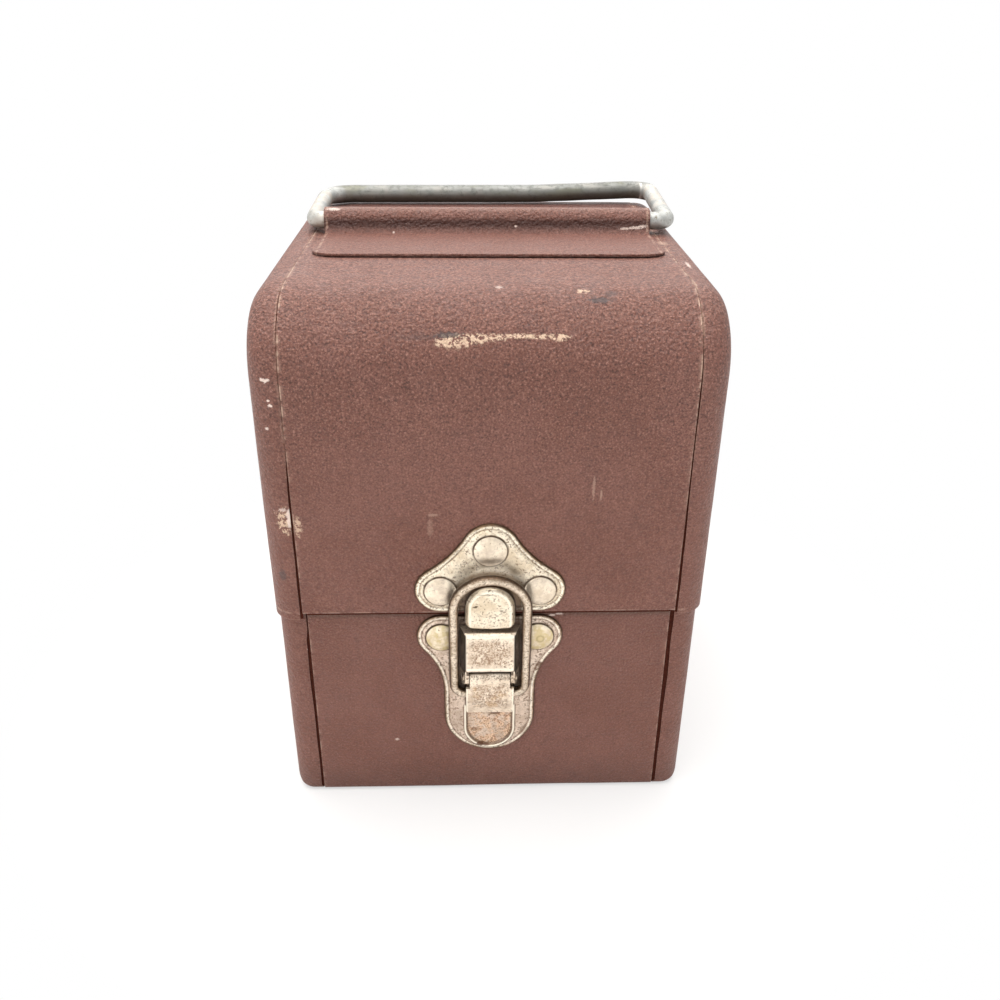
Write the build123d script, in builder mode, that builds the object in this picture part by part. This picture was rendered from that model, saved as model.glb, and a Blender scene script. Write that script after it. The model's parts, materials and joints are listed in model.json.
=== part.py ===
"""Film can carrying case of vulcanised fibre.

The origin is at the centre of the base's underside, on the surface that the case stands on.
+X is to the right as seen from the latch, +Y runs to the hinges and +Z is up. Millimetres.
"""

import os
from math import cos, hypot, radians, sin, sqrt, tan

from build123d import *

# Overall size, over the lid
CASE_WIDTH = 166.4
CASE_DEPTH = 196.0
CASE_HEIGHT = 214.2

# Fibre sheet, and how the lid and the base are made from it
SHEET = 1.0
LID_BEND_RADIUS = 27.3  # outside of the wrap, front and back
LID_CAP_EDGE_RADIUS = 9.5  # drawn edge round each end cap
LID_SEAM_INSET = 11.7  # from the lid's side to the edge of the wrap
LID_LOWER_EDGE = 93.5  # lower edge of the lid's wrap
LID_CAP_DROP = 2.7  # how much further down the lid's end caps reach, outside the wrap
BASE_BEND_RADIUS = 3.0
BASE_CAP_EDGE_RADIUS = 7.5
BASE_SEAM_INSET = 11.6
CAP_FLANGE = 20.0  # depth of an end cap, about half of it under the wrap
COLLAR_HEIGHT = 13.0  # how far the base reaches up inside the lid
SIDE_FIT = 0.2  # between the lid's sides and the base's collar
FRONT_FIT = 0.8  # between the lid's cap flanges and the collar, so that the lid swings clear
BACK_FIT = 0.5

# Bail handle, and the strip that holds it
BAIL_ROD = 7.4
BAIL_SIDE_INSET = 6.0  # from the case's side to the outside of the bail
BAIL_LENGTH = 66.0  # between the axes of its two long bars
BAIL_OFFSET = 2.4  # the bail has slid to the right in its strip
BAIL_LOWER_BEND = 4.7  # bends are to the rod's axis
BAIL_UPPER_BEND = 9.0
BAIL_REST_GAP = 0.5  # under the upper bar when the bail lies back
STRIP_SHEET = 1.2
STRIP_SIDE_INSET = 16.3  # from the case's side to the end of the strip's flange
STRIP_OFFSET = 0.8  # the strip sits a little to the right
SADDLE_OVERHANG = 0.5  # how far the fold over the rod reaches past the flange, at each end
SADDLE_FILLET = 2.0  # hollow bend between the fold and the flange
ROD_FIT = 0.25
ROD_BEHIND_FRONT = 104.2
STRIP_FRONT_REACH = 43.8  # from the rod's axis to the strip's front edge
STRIP_BACK_REACH = 15.0
STRIP_CORNER = 7.0

# Plates of the latch
PLATE_SHEET = 1.0
PANEL_RISE = 0.4  # how far the panel inside a plate's border stands up
PLATE_BORDER = 2.4
PLATE_EDGE_ROUND = 0.6
PANEL_EDGE_ROUND = 0.25
LOBE_RADIUS = 9.8
RIVET_HALF_PITCH = 18.8

STRIKE_RISE = 0.9  # from the lid's lower edge up to the strike plate's
STRIKE_TOP_RIVET_RISE = 17.4  # above the two side rivets
STRIKE_TOP_RADIUS = 11.0
STRIKE_WAIST_RADIUS = 46.0

LATCH_PLATE_DROP = 2.8  # from the lid's lower edge down to the plate
LATCH_PLATE_LENGTH = 67.6
LATCH_TOE_RADIUS = 18.3
LATCH_WAIST_RADIUS = 30.0
THUMB_HALF_WIDTH = 9.4
THUMB_TOP_DROP = 4.0  # from the lever's pivot down to the recess
THUMB_BORDER = 2.5  # between the recess and the plate's toe
THUMB_FLOOR = 0.5  # metal left under the recess
THUMB_RIM_WIDTH = 0.9
THUMB_RIM_RISE = 0.35
THUMB_RIM_LENGTH = 26.1

# Rivets of the latch
RIVET_SHANK = 5.0
RIVET_FIT = 0.05
RIVET_HEAD = 12.2
TOP_RIVET_HEAD = 12.6
RIVET_DOME = 1.5
BURR = 10.0
BURR_SHEET = 0.9
RIVET_TAIL = 0.5  # how far a shank is turned over past its burr
RIVET_TAIL_SPREAD = 1.0

# Nose of the strike plate
NOSE_DROP = 4.9  # from the lid's lower edge down to the nose's foot
NOSE_LENGTH = 18.1
NOSE_HALF_WIDTH = 9.2
NOSE_CROWN_RADIUS = 9.0
NOSE_FOOT_RADIUS = 2.2
NOSE_PROUD = 4.6  # of the lid's front face
NOSE_DRAFT = 10.0  # degrees
NOSE_SHEET = 1.2
NOSE_EDGE_ROUND = 0.8

# Bracket, lever and loop
PIVOT_DROP = 29.3  # from the lid's lower edge down to the lever's pivot
PIVOT_PROUD = 4.8  # of the base's front face
PIN = 3.1
PIN_FIT = 0.05
PIN_END = 0.2  # how far the pin stands out of the lugs
PIN_END_CHAMFER = 0.3
BRACKET_SHEET = 1.4
BRACKET_HALF_WIDTH = 9.7  # at the bracket's face
BRACKET_FLARE = 2.2  # how much further out each side stands on the plate
BRACKET_RISE = 4.4  # from the pivot up to the bracket's lower edge
BRACKET_TOP_DROP = 4.2  # from the plate's top down to the bracket's
BRACKET_PROUD = 7.8
BRACKET_BEND = 1.8
LUG_RADIUS = 2.9
TAB_HEIGHT = 3.0
TAB_INSET = 3.0  # from the bracket's ends to the tabs that are staked through the plate
TAB_FIT = 0.1
LEVER_SHEET = 1.3
LEVER_SIDE_FIT = 0.3  # between the knuckle and the lugs
LEVER_HALF_WIDTH = 9.4
LEVER_SHOULDER = 4.0  # below the pivot, where the lever widens
LEVER_BREAK = 10.0  # below the pivot, where the lever bends in towards the case
LEVER_LENGTH = 17.1  # from the pivot to the tip
LEVER_TIP_PROUD = 6.2
LEVER_TIP_ROUND = 1.0
CRANK_DROP = 8.9  # from the lever's pivot down to the loop's
CRANK_BACK = 1.1  # the loop's pivot lies behind the lever's, which holds the latch shut
CHEEK_RADIUS = 3.0
LOOP_WIRE = 3.8
LOOP_HALF_WIDTH = 14.0  # to the wire's axis
LOOP_CORNER = 4.8
LOOP_RISE = 6.0  # from the nose's top to the wire's axis at the top of the arch
LOOP_STAND_OFF = 0.9  # between the nose's face and the wire at the top of the arch
LOOP_TAIL = 1.4  # how far each end reaches past the inside of its cheek

# Hinges
HINGE_SIDE_INSET = 38.5  # from the case's side to the middle of a hinge
HINGE_WIDTH = 36.0
HINGE_SHEET = 1.2
HINGE_PIN = 2.4
HINGE_KNUCKLE_GAP = 0.25
HINGE_MIDDLE_KNUCKLE = 12.0
HINGE_BASE_DROP = 23.0  # from the pin down to the leaf's end
HINGE_LID_RISE = 25.5
HINGE_CORNER = 5.0
HINGE_JOGGLE_START = 4.5  # below the pin
HINGE_JOGGLE_LENGTH = 3.4
HINGE_RIVET_PITCH = 22.0
HINGE_BASE_RIVET_DROP = 16.0
HINGE_LID_RIVET_RISE = 18.5
HINGE_RIVET_SHANK = 3.0
HINGE_RIVET_HEAD = 6.4
HINGE_RIVET_DOME = 1.2
HINGE_BURR = 6.0

# Places that follow from the sizes above
half_width = CASE_WIDTH / 2
front = -CASE_DEPTH / 2
back = CASE_DEPTH / 2
top = CASE_HEIGHT
lid_cap_bottom = LID_LOWER_EDGE - LID_CAP_DROP
lid_wrap_half = half_width - LID_SEAM_INSET
base_half_width = half_width - SHEET - SIDE_FIT
base_wrap_half = base_half_width - BASE_SEAM_INSET
base_front = front + 2 * SHEET + FRONT_FIT
base_back = back - 2 * SHEET - BACK_FIT
collar_top = lid_cap_bottom + COLLAR_HEIGHT

roll_inner = BAIL_ROD / 2 + ROD_FIT
roll_outer = roll_inner + STRIP_SHEET
rod_y = front + ROD_BEHIND_FRONT
rod_z = top + roll_outer
strip_half = half_width - STRIP_SIDE_INSET
saddle_half = strip_half + SADDLE_OVERHANG

plate_rise = PLATE_SHEET + PANEL_RISE
lobe_reach = LOBE_RADIUS * cos(radians(20))
lobe_drop = LOBE_RADIUS * sin(radians(20))
strike_bottom = LID_LOWER_EDGE + STRIKE_RISE
latch_plate_top = LID_LOWER_EDGE - LATCH_PLATE_DROP
latch_plate_bottom = latch_plate_top - LATCH_PLATE_LENGTH
nose_bottom = LID_LOWER_EDGE - NOSE_DROP
nose_top = nose_bottom + NOSE_LENGTH
strike_rivet_z = strike_bottom + LOBE_RADIUS
latch_rivet_z = latch_plate_top - LOBE_RADIUS
strike_side_points = [(-RIVET_HALF_PITCH, strike_rivet_z), (RIVET_HALF_PITCH, strike_rivet_z)]
strike_top_point = (0, strike_rivet_z + STRIKE_TOP_RIVET_RISE)
latch_points = [(-RIVET_HALF_PITCH, latch_rivet_z), (RIVET_HALF_PITCH, latch_rivet_z)]

pivot_y = base_front - PIVOT_PROUD
pivot_z = LID_LOWER_EDGE - PIVOT_DROP
loop_pivot_y = pivot_y + CRANK_BACK
loop_pivot_z = pivot_z - CRANK_DROP
loop_top_y = front - NOSE_PROUD - LOOP_STAND_OFF - LOOP_WIRE / 2
loop_top_z = nose_top + LOOP_RISE
lever_tip_z = pivot_z - LEVER_LENGTH
thumb_top = pivot_z - THUMB_TOP_DROP
thumb_bottom = latch_plate_bottom + THUMB_BORDER
thumb_rim_top = thumb_bottom + THUMB_RIM_LENGTH

bracket_bottom = pivot_z + BRACKET_RISE
bracket_top = latch_plate_top - BRACKET_TOP_DROP
bracket_depth = BRACKET_PROUD - plate_rise
bracket_wall = BRACKET_SHEET * hypot(bracket_depth, BRACKET_FLARE) / bracket_depth  # along X
bracket_foot = BRACKET_HALF_WIDTH + BRACKET_FLARE
lug_outer = BRACKET_HALF_WIDTH + BRACKET_FLARE * (BRACKET_PROUD - PIVOT_PROUD) / bracket_depth
knuckle_half = BRACKET_HALF_WIDTH - bracket_wall - LEVER_SIDE_FIT
tab_bottoms = (bracket_bottom + TAB_INSET, bracket_top - TAB_INSET - TAB_HEIGHT)

hinge_x = half_width - HINGE_SIDE_INSET
hinge_knuckle = HINGE_PIN / 2 + PIN_FIT + HINGE_SHEET
hinge_y = back + hinge_knuckle
hinge_z = lid_cap_bottom
hinge_hole = HINGE_RIVET_SHANK + 2 * RIVET_FIT
hinge_rivet_xs = [side * hinge_x + shift * HINGE_RIVET_PITCH / 2 for side in (-1, 1) for shift in (-1, 1)]
hinge_base_points = [(x, hinge_z - HINGE_BASE_RIVET_DROP) for x in hinge_rivet_xs]
hinge_lid_points = [(x, hinge_z + HINGE_LID_RIVET_RISE) for x in hinge_rivet_xs]

os.makedirs("parts", exist_ok=True)


def write(builder, name):
    """Label a finished piece and write it as its own STEP file."""
    builder.part.label = name
    export_step(builder.part, f"parts/{name}.step")


def front_plane(y):
    """Plane at depth y that faces the viewer, with local x to the right and local y up."""
    return Plane(origin=(0, y, 0), x_dir=(1, 0, 0), z_dir=(0, -1, 0))


def back_plane(y):
    """Plane at depth y that faces backwards, with local x to the left and local y up."""
    return Plane(origin=(0, y, 0), x_dir=(-1, 0, 0), z_dir=(0, 1, 0))


def side_plane(x):
    """Plane at x that faces right, with local x towards the back and local y up."""
    return Plane(origin=(x, 0, 0), x_dir=(0, 1, 0), z_dir=(1, 0, 0))


def bent_outline(y_front, y_back, low, high, bend, bent_row):
    """Filled outline, seen from the side, with two bends: bent_row is 0 for its foot, -1 for its top."""
    with BuildSketch(Plane.XY, mode=Mode.PRIVATE) as outline:
        with Locations(((y_front + y_back) / 2, (low + high) / 2)):
            Rectangle(y_back - y_front, high - low)
        fillet(outline.vertices().group_by(Axis.Y)[bent_row], bend)
    return outline.sketch


def waist(centre_a, radius_a, centre_b, radius_b, radius):
    """Hollow arc that joins two round lobes on their right: its start, middle and end."""
    (ax, ay), (bx, by) = centre_a, centre_b
    span = hypot(bx - ax, by - ay)
    reach_a, reach_b = radius_a + radius, radius_b + radius
    along = (reach_a**2 - reach_b**2 + span**2) / (2 * span)
    away = sqrt(reach_a**2 - along**2)
    ux, uy = (bx - ax) / span, (by - ay) / span
    cx, cy = ax + ux * along - uy * away, ay + uy * along + ux * away
    start = (ax + (cx - ax) * radius_a / reach_a, ay + (cy - ay) * radius_a / reach_a)
    end = (bx + (cx - bx) * radius_b / reach_b, by + (cy - by) * radius_b / reach_b)
    mx, my = (start[0] + end[0]) / 2 - cx, (start[1] + end[1]) / 2 - cy
    scale = radius / hypot(mx, my)
    return start, (cx + mx * scale, cy + my * scale), end


def rivet(head, dome, shank, grip, tail, fit_plane, points):
    """Rivets with a domed head on fit_plane and a shank turned over at its far end."""
    sphere = (head**2 / 4 + dome**2) / (2 * dome)
    flank = (head * 0.32, sqrt(sphere**2 - (head * 0.32) ** 2) - sphere + dome)
    with BuildPart() as one:
        with BuildSketch(Plane.XZ):
            with BuildLine():
                ThreePointArc((0, dome), flank, (head / 2, 0))
                Polyline(
                    (head / 2, 0),
                    (shank / 2, 0),
                    (shank / 2, -grip),
                    (shank / 2 + tail * RIVET_TAIL_SPREAD, -grip),
                    (shank / 2, -grip - tail),
                    (0, -grip - tail),
                    (0, dome),
                )
            make_face()
        revolve(axis=Axis.Z)
    places = [fit_plane.location * Location((x, y, 0)) for x, y in points]
    return [one.part.moved(place) for place in places]


def cut_holes(plane, points, diameter, depth):
    """Round holes from plane into the piece that is being built."""
    with BuildSketch(plane) as holes:
        with Locations(*points):
            Circle(diameter / 2)
    extrude(holes.sketch, amount=-depth, mode=Mode.SUBTRACT)


# Lid wrap: one sheet bent over the front, the top and the back
with BuildPart() as lid_wrap:
    with BuildSketch(side_plane(-lid_wrap_half)):
        add(bent_outline(front, back, LID_LOWER_EDGE, top, LID_BEND_RADIUS, -1))
        add(
            bent_outline(
                front + SHEET, back - SHEET, LID_LOWER_EDGE - SHEET, top - SHEET, LID_BEND_RADIUS - SHEET, -1
            ),
            mode=Mode.SUBTRACT,
        )
    extrude(amount=2 * lid_wrap_half)
    strike_holes = strike_side_points + [strike_top_point]
    cut_holes(front_plane(front), strike_holes, RIVET_SHANK + 2 * RIVET_FIT, 2 * SHEET)
    hinge_holes = [(-x, z) for x, z in hinge_lid_points]
    cut_holes(back_plane(back), hinge_holes, hinge_hole, 2 * SHEET)
write(lid_wrap, "lid_wrap")

# Lid end caps: trays with a drawn edge, whose flange lies under the wrap
with BuildPart() as lid_cap_right:
    with BuildSketch(side_plane(half_width - CAP_FLANGE)):
        add(
            bent_outline(
                front + SHEET, back - SHEET, lid_cap_bottom, top - SHEET, LID_BEND_RADIUS - SHEET, -1
            )
        )
    extrude(amount=CAP_FLANGE)
    outer_edges = lid_cap_right.faces().sort_by(Axis.X)[-1].edges()
    fillet(outer_edges.sort_by(Axis.Z)[1:], LID_CAP_EDGE_RADIUS)
    open_side = lid_cap_right.faces().sort_by(Axis.X)[0]
    open_foot = lid_cap_right.faces().sort_by(Axis.Z)[0]
    offset(amount=-SHEET, openings=[open_side, open_foot])
    with BuildSketch(side_plane(half_width - CAP_FLANGE)):
        with Locations((0, (lid_cap_bottom + LID_LOWER_EDGE) / 2)):
            Rectangle(CASE_DEPTH, LID_CAP_DROP)
    extrude(amount=CAP_FLANGE - LID_SEAM_INSET, mode=Mode.SUBTRACT)
write(lid_cap_right, "lid_cap_right")

with BuildPart() as lid_cap_left:
    mirror(lid_cap_right.part, about=Plane.YZ)
write(lid_cap_left, "lid_cap_left")

# Base wrap: one sheet bent up from the floor, whose rim is the collar inside the lid
with BuildPart() as base_wrap:
    with BuildSketch(side_plane(-base_wrap_half)):
        add(bent_outline(base_front, base_back, 0, collar_top, BASE_BEND_RADIUS, 0))
        add(
            bent_outline(
                base_front + SHEET, base_back - SHEET, SHEET, collar_top + SHEET, BASE_BEND_RADIUS - SHEET, 0
            ),
            mode=Mode.SUBTRACT,
        )
    extrude(amount=2 * base_wrap_half)
    cut_holes(front_plane(base_front), latch_points, RIVET_SHANK + 2 * RIVET_FIT, 2 * SHEET)
    hinge_holes = [(-x, z) for x, z in hinge_base_points]
    cut_holes(back_plane(base_back), hinge_holes, hinge_hole, 2 * SHEET)
write(base_wrap, "base_wrap")

# Base end caps: trays open at the top, with the drawn edge carried round the bottom corners
with BuildPart() as base_cap_right:
    with BuildSketch(side_plane(base_half_width - CAP_FLANGE)):
        with Locations(((base_front + base_back) / 2, (SHEET + collar_top) / 2)):
            Rectangle(base_back - base_front - 2 * SHEET, collar_top - SHEET)
    extrude(amount=CAP_FLANGE)
    outer_edges = base_cap_right.faces().sort_by(Axis.X)[-1].edges()
    fillet(outer_edges.sort_by(Axis.Z)[:-1], BASE_CAP_EDGE_RADIUS)
    with BuildSketch(side_plane(base_half_width - CAP_FLANGE)):
        add(
            bent_outline(
                base_front + SHEET, base_back - SHEET, SHEET, collar_top, BASE_BEND_RADIUS - SHEET, 0
            )
        )
    extrude(amount=CAP_FLANGE, mode=Mode.INTERSECT)
    open_side = base_cap_right.faces().sort_by(Axis.X)[0]
    open_rim = base_cap_right.faces().sort_by(Axis.Z)[-1]
    offset(amount=-SHEET, openings=[open_side, open_rim])
write(base_cap_right, "base_cap_right")

with BuildPart() as base_cap_left:
    mirror(base_cap_right.part, about=Plane.YZ)
write(base_cap_left, "base_cap_left")

# Strip: a sheet laid on the lid and folded over the bail's lower bar
with BuildPart() as handle_strip:
    with BuildSketch(side_plane(STRIP_OFFSET - strip_half)) as section:
        with Locations((rod_y + (STRIP_BACK_REACH - STRIP_FRONT_REACH) / 2, top + STRIP_SHEET / 2)):
            Rectangle(STRIP_FRONT_REACH + STRIP_BACK_REACH, STRIP_SHEET)
        with Locations((rod_y, (top + rod_z) / 2)):
            Rectangle(2 * roll_outer, rod_z - top)
        with Locations((rod_y, rod_z)):
            Circle(roll_outer)
        flange_corners = section.vertices().filter_by_position(Axis.Y, top + STRIP_SHEET / 2, rod_z - 0.1)
        fold_corners = flange_corners.filter_by_position(
            Axis.X, rod_y - roll_outer - 0.1, rod_y + roll_outer + 0.1
        )
        fillet(fold_corners, SADDLE_FILLET)
    extrude(amount=2 * strip_half)
    upright_edges = handle_strip.edges().filter_by(Axis.Z).group_by(Axis.Y)
    fillet(upright_edges[0] + upright_edges[-1], STRIP_CORNER)
    with BuildSketch(side_plane(STRIP_OFFSET - saddle_half)):
        with Locations((rod_y, (top + rod_z) / 2)):
            Rectangle(2 * roll_outer, rod_z - top)
        with Locations((rod_y, rod_z)):
            Circle(roll_outer)
    extrude(amount=2 * saddle_half)
    with BuildSketch(side_plane(STRIP_OFFSET - saddle_half)):
        with Locations((rod_y, rod_z)):
            Circle(roll_inner)
    extrude(amount=2 * saddle_half, mode=Mode.SUBTRACT)
write(handle_strip, "handle_strip")

# Bail: a closed loop of rod whose lower bar turns in the strip, lying back on the lid
bail_half_width = half_width - BAIL_SIDE_INSET - BAIL_ROD / 2
bail_drop = rod_z - (top + BAIL_REST_GAP + BAIL_ROD / 2)
bail_lean = sqrt(1 - (bail_drop / BAIL_LENGTH) ** 2)
bail_plane = Plane(
    origin=(BAIL_OFFSET, rod_y, rod_z),
    x_dir=(1, 0, 0),
    z_dir=(0, bail_drop / BAIL_LENGTH, bail_lean),
)
with BuildPart() as bail_handle:
    with BuildLine(bail_plane) as bail_path:
        FilletPolyline(
            (0, 0),
            (bail_half_width, 0),
            (bail_half_width, BAIL_LENGTH),
            (0, BAIL_LENGTH),
            radius=[BAIL_LOWER_BEND, BAIL_UPPER_BEND],
        )
    with BuildSketch(Plane(origin=bail_path.line @ 0, z_dir=bail_path.line % 0)):
        Circle(BAIL_ROD / 2)
    sweep()
    mirror(about=Plane.YZ.offset(BAIL_OFFSET))
write(bail_handle, "bail_handle")

# Strike plate: a lobed plate with a raised panel and a hollow pressed nose
top_lobe = (0, strike_top_point[1])
side_lobe = (RIVET_HALF_PITCH, strike_rivet_z)
waist_start, waist_middle, waist_end = waist(
    top_lobe, STRIKE_TOP_RADIUS, side_lobe, LOBE_RADIUS, STRIKE_WAIST_RADIUS
)
crown_angle = radians(70)
crown_point = (
    STRIKE_TOP_RADIUS * cos(crown_angle),
    top_lobe[1] + STRIKE_TOP_RADIUS * sin(crown_angle),
)
nose_spread = NOSE_PROUD * tan(radians(NOSE_DRAFT))


def nose_outline(grow):
    """The nose's outline on the lid's face, a rounded crown on a flat foot, grown outwards."""
    with BuildSketch(Plane.XY, mode=Mode.PRIVATE) as outline:
        foot_x = NOSE_HALF_WIDTH - NOSE_FOOT_RADIUS
        with Locations((-foot_x, nose_bottom + NOSE_FOOT_RADIUS), (foot_x, nose_bottom + NOSE_FOOT_RADIUS)):
            Circle(NOSE_FOOT_RADIUS + grow)
        with Locations((0, nose_top - NOSE_CROWN_RADIUS)):
            Circle(NOSE_CROWN_RADIUS + grow)
        make_hull()
    return outline.sketch


with BuildPart() as strike_plate:
    with BuildSketch(front_plane(front)) as strike_outline:
        with BuildLine():
            ThreePointArc((0, top_lobe[1] + STRIKE_TOP_RADIUS), crown_point, waist_start)
            ThreePointArc(waist_start, waist_middle, waist_end)
            ThreePointArc(
                waist_end,
                (side_lobe[0] + lobe_reach, side_lobe[1] - lobe_drop),
                (side_lobe[0], strike_bottom),
            )
            Line((side_lobe[0], strike_bottom), (0, strike_bottom))
            mirror(about=Plane.YZ)
        make_face()
    extrude(amount=PLATE_SHEET)
    fillet(strike_plate.faces().sort_by(Axis.Y)[0].edges(), PLATE_EDGE_ROUND)
    with BuildSketch(front_plane(front - PLATE_SHEET)):
        add(strike_outline.sketch_local)
        offset(amount=-PLATE_BORDER, mode=Mode.REPLACE)
    extrude(amount=PANEL_RISE)
    fillet(strike_plate.faces().sort_by(Axis.Y)[0].edges(), PANEL_EDGE_ROUND)
    with BuildSketch(front_plane(front)):
        add(nose_outline(nose_spread))
    extrude(amount=NOSE_PROUD, taper=NOSE_DRAFT)
    fillet(strike_plate.faces().sort_by(Axis.Y)[0].edges(), NOSE_EDGE_ROUND)
    with BuildSketch(front_plane(front)):
        add(nose_outline(nose_spread - NOSE_SHEET))
    extrude(amount=NOSE_PROUD - NOSE_SHEET, taper=NOSE_DRAFT, mode=Mode.SUBTRACT)
    cut_holes(
        front_plane(front - NOSE_PROUD), strike_holes, RIVET_SHANK + 2 * RIVET_FIT, NOSE_PROUD
    )
write(strike_plate, "strike_plate")

# Latch plate: lobes at the top, a round toe, and a thumb recess with a raised rim
latch_lobe = (RIVET_HALF_PITCH, latch_rivet_z)
waist_x = LATCH_TOE_RADIUS + LATCH_WAIST_RADIUS
waist_z = latch_rivet_z - sqrt((LATCH_WAIST_RADIUS + LOBE_RADIUS) ** 2 - (waist_x - RIVET_HALF_PITCH) ** 2)
toe_z = latch_plate_bottom + LATCH_TOE_RADIUS
lobe_share = LOBE_RADIUS / (LOBE_RADIUS + LATCH_WAIST_RADIUS)
lobe_end = (
    latch_lobe[0] + (waist_x - latch_lobe[0]) * lobe_share,
    latch_lobe[1] + (waist_z - latch_lobe[1]) * lobe_share,
)
thumb_toe_z = thumb_bottom + THUMB_HALF_WIDTH
with BuildPart() as latch_plate:
    with BuildSketch(front_plane(base_front)) as latch_outline:
        with BuildLine():
            Line((0, latch_plate_top), (RIVET_HALF_PITCH, latch_plate_top))
            ThreePointArc(
                (RIVET_HALF_PITCH, latch_plate_top),
                (latch_lobe[0] + lobe_reach, latch_lobe[1] + lobe_drop),
                lobe_end,
            )
            TangentArc((LATCH_TOE_RADIUS, waist_z), lobe_end, tangent=(0, 1))
            Line((LATCH_TOE_RADIUS, waist_z), (LATCH_TOE_RADIUS, toe_z))
            ThreePointArc(
                (LATCH_TOE_RADIUS, toe_z),
                (LATCH_TOE_RADIUS * cos(radians(45)), toe_z - LATCH_TOE_RADIUS * sin(radians(45))),
                (0, latch_plate_bottom),
            )
            mirror(about=Plane.YZ)
        make_face()
    extrude(amount=PLATE_SHEET)
    fillet(latch_plate.faces().sort_by(Axis.Y)[0].edges(), PLATE_EDGE_ROUND)
    with BuildSketch(front_plane(base_front - PLATE_SHEET)):
        add(latch_outline.sketch_local)
        offset(amount=-PLATE_BORDER, mode=Mode.REPLACE)
    extrude(amount=PANEL_RISE)
    fillet(latch_plate.faces().sort_by(Axis.Y)[0].edges(), PANEL_EDGE_ROUND)
    with BuildSketch(front_plane(base_front - PLATE_SHEET)):
        with Locations((0, thumb_toe_z)):
            Circle(THUMB_HALF_WIDTH + THUMB_RIM_WIDTH)
        with Locations((0, (thumb_toe_z + thumb_rim_top) / 2)):
            Rectangle(2 * (THUMB_HALF_WIDTH + THUMB_RIM_WIDTH), thumb_rim_top - thumb_toe_z)
    extrude(amount=PANEL_RISE + THUMB_RIM_RISE)
    with BuildSketch(front_plane(base_front - THUMB_FLOOR)):
        with Locations((0, thumb_toe_z)):
            Circle(THUMB_HALF_WIDTH)
        with Locations((0, (thumb_toe_z + thumb_top) / 2)):
            Rectangle(2 * THUMB_HALF_WIDTH, thumb_top - thumb_toe_z)
    extrude(amount=PIVOT_PROUD, mode=Mode.SUBTRACT)
    cut_holes(
        front_plane(base_front - PIVOT_PROUD), latch_points, RIVET_SHANK + 2 * RIVET_FIT, PIVOT_PROUD
    )
    with BuildSketch(front_plane(base_front)):
        for tab_bottom in tab_bottoms:
            for side in (-1, 1):
                with Locations((side * (bracket_foot - bracket_wall / 2), tab_bottom + TAB_HEIGHT / 2)):
                    Rectangle(bracket_wall + 2 * TAB_FIT, TAB_HEIGHT + 2 * TAB_FIT)
    extrude(amount=plate_rise, mode=Mode.SUBTRACT)
write(latch_plate, "latch_plate")

# Rivets of the latch, with the burrs that their shanks are turned over inside the case
latch_grip = plate_rise + SHEET + BURR_SHEET
strike_seat = front_plane(front - plate_rise)
with BuildPart() as strike_rivets:
    for head, points in ((RIVET_HEAD, strike_side_points), (TOP_RIVET_HEAD, [strike_top_point])):
        add(rivet(head, RIVET_DOME, RIVET_SHANK, latch_grip, RIVET_TAIL, strike_seat, points))
write(strike_rivets, "strike_rivets")

with BuildPart() as latch_plate_rivets:
    latch_seat = front_plane(base_front - plate_rise)
    add(rivet(RIVET_HEAD, RIVET_DOME, RIVET_SHANK, latch_grip, RIVET_TAIL, latch_seat, latch_points))
write(latch_plate_rivets, "latch_plate_rivets")


def burrs(plane, points, diameter, shank):
    """Washers whose near faces lie on plane."""
    with BuildPart() as rings:
        with BuildSketch(plane):
            with Locations(*points):
                Circle(diameter / 2)
                Circle(shank / 2 + RIVET_FIT, mode=Mode.SUBTRACT)
        extrude(amount=-BURR_SHEET)
    return rings.part


with BuildPart() as strike_burrs:
    add(burrs(front_plane(front + SHEET), strike_holes, BURR, RIVET_SHANK))
write(strike_burrs, "strike_burrs")

with BuildPart() as latch_plate_burrs:
    add(burrs(front_plane(base_front + SHEET), latch_points, BURR, RIVET_SHANK))
write(latch_plate_burrs, "latch_plate_burrs")

# Bracket: a box folded from sheet with flared sides, which run down to two lugs for the lever's pin
bracket_seat = base_front - plate_rise
bracket_face = base_front - BRACKET_PROUD
with BuildPart() as lug:
    with BuildSketch(Plane.XY.offset(pivot_z - LUG_RADIUS)):
        with BuildLine():
            Polyline(
                (BRACKET_HALF_WIDTH - bracket_wall, bracket_face),
                (BRACKET_HALF_WIDTH, bracket_face),
                (bracket_foot, bracket_seat),
                (bracket_foot - bracket_wall, bracket_seat),
                close=True,
            )
        make_face()
    extrude(amount=LUG_RADIUS + BRACKET_RISE)
    with BuildSketch(side_plane(0)) as lug_outline:
        with Locations((pivot_y, pivot_z)):
            Circle(LUG_RADIUS)
        with Locations((pivot_y, pivot_z + BRACKET_RISE / 2)):
            Rectangle(2 * LUG_RADIUS, BRACKET_RISE)
        with Locations((pivot_y, pivot_z)):
            Circle(PIN / 2 + PIN_FIT, mode=Mode.SUBTRACT)
    extrude(amount=bracket_foot, mode=Mode.INTERSECT)

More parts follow.
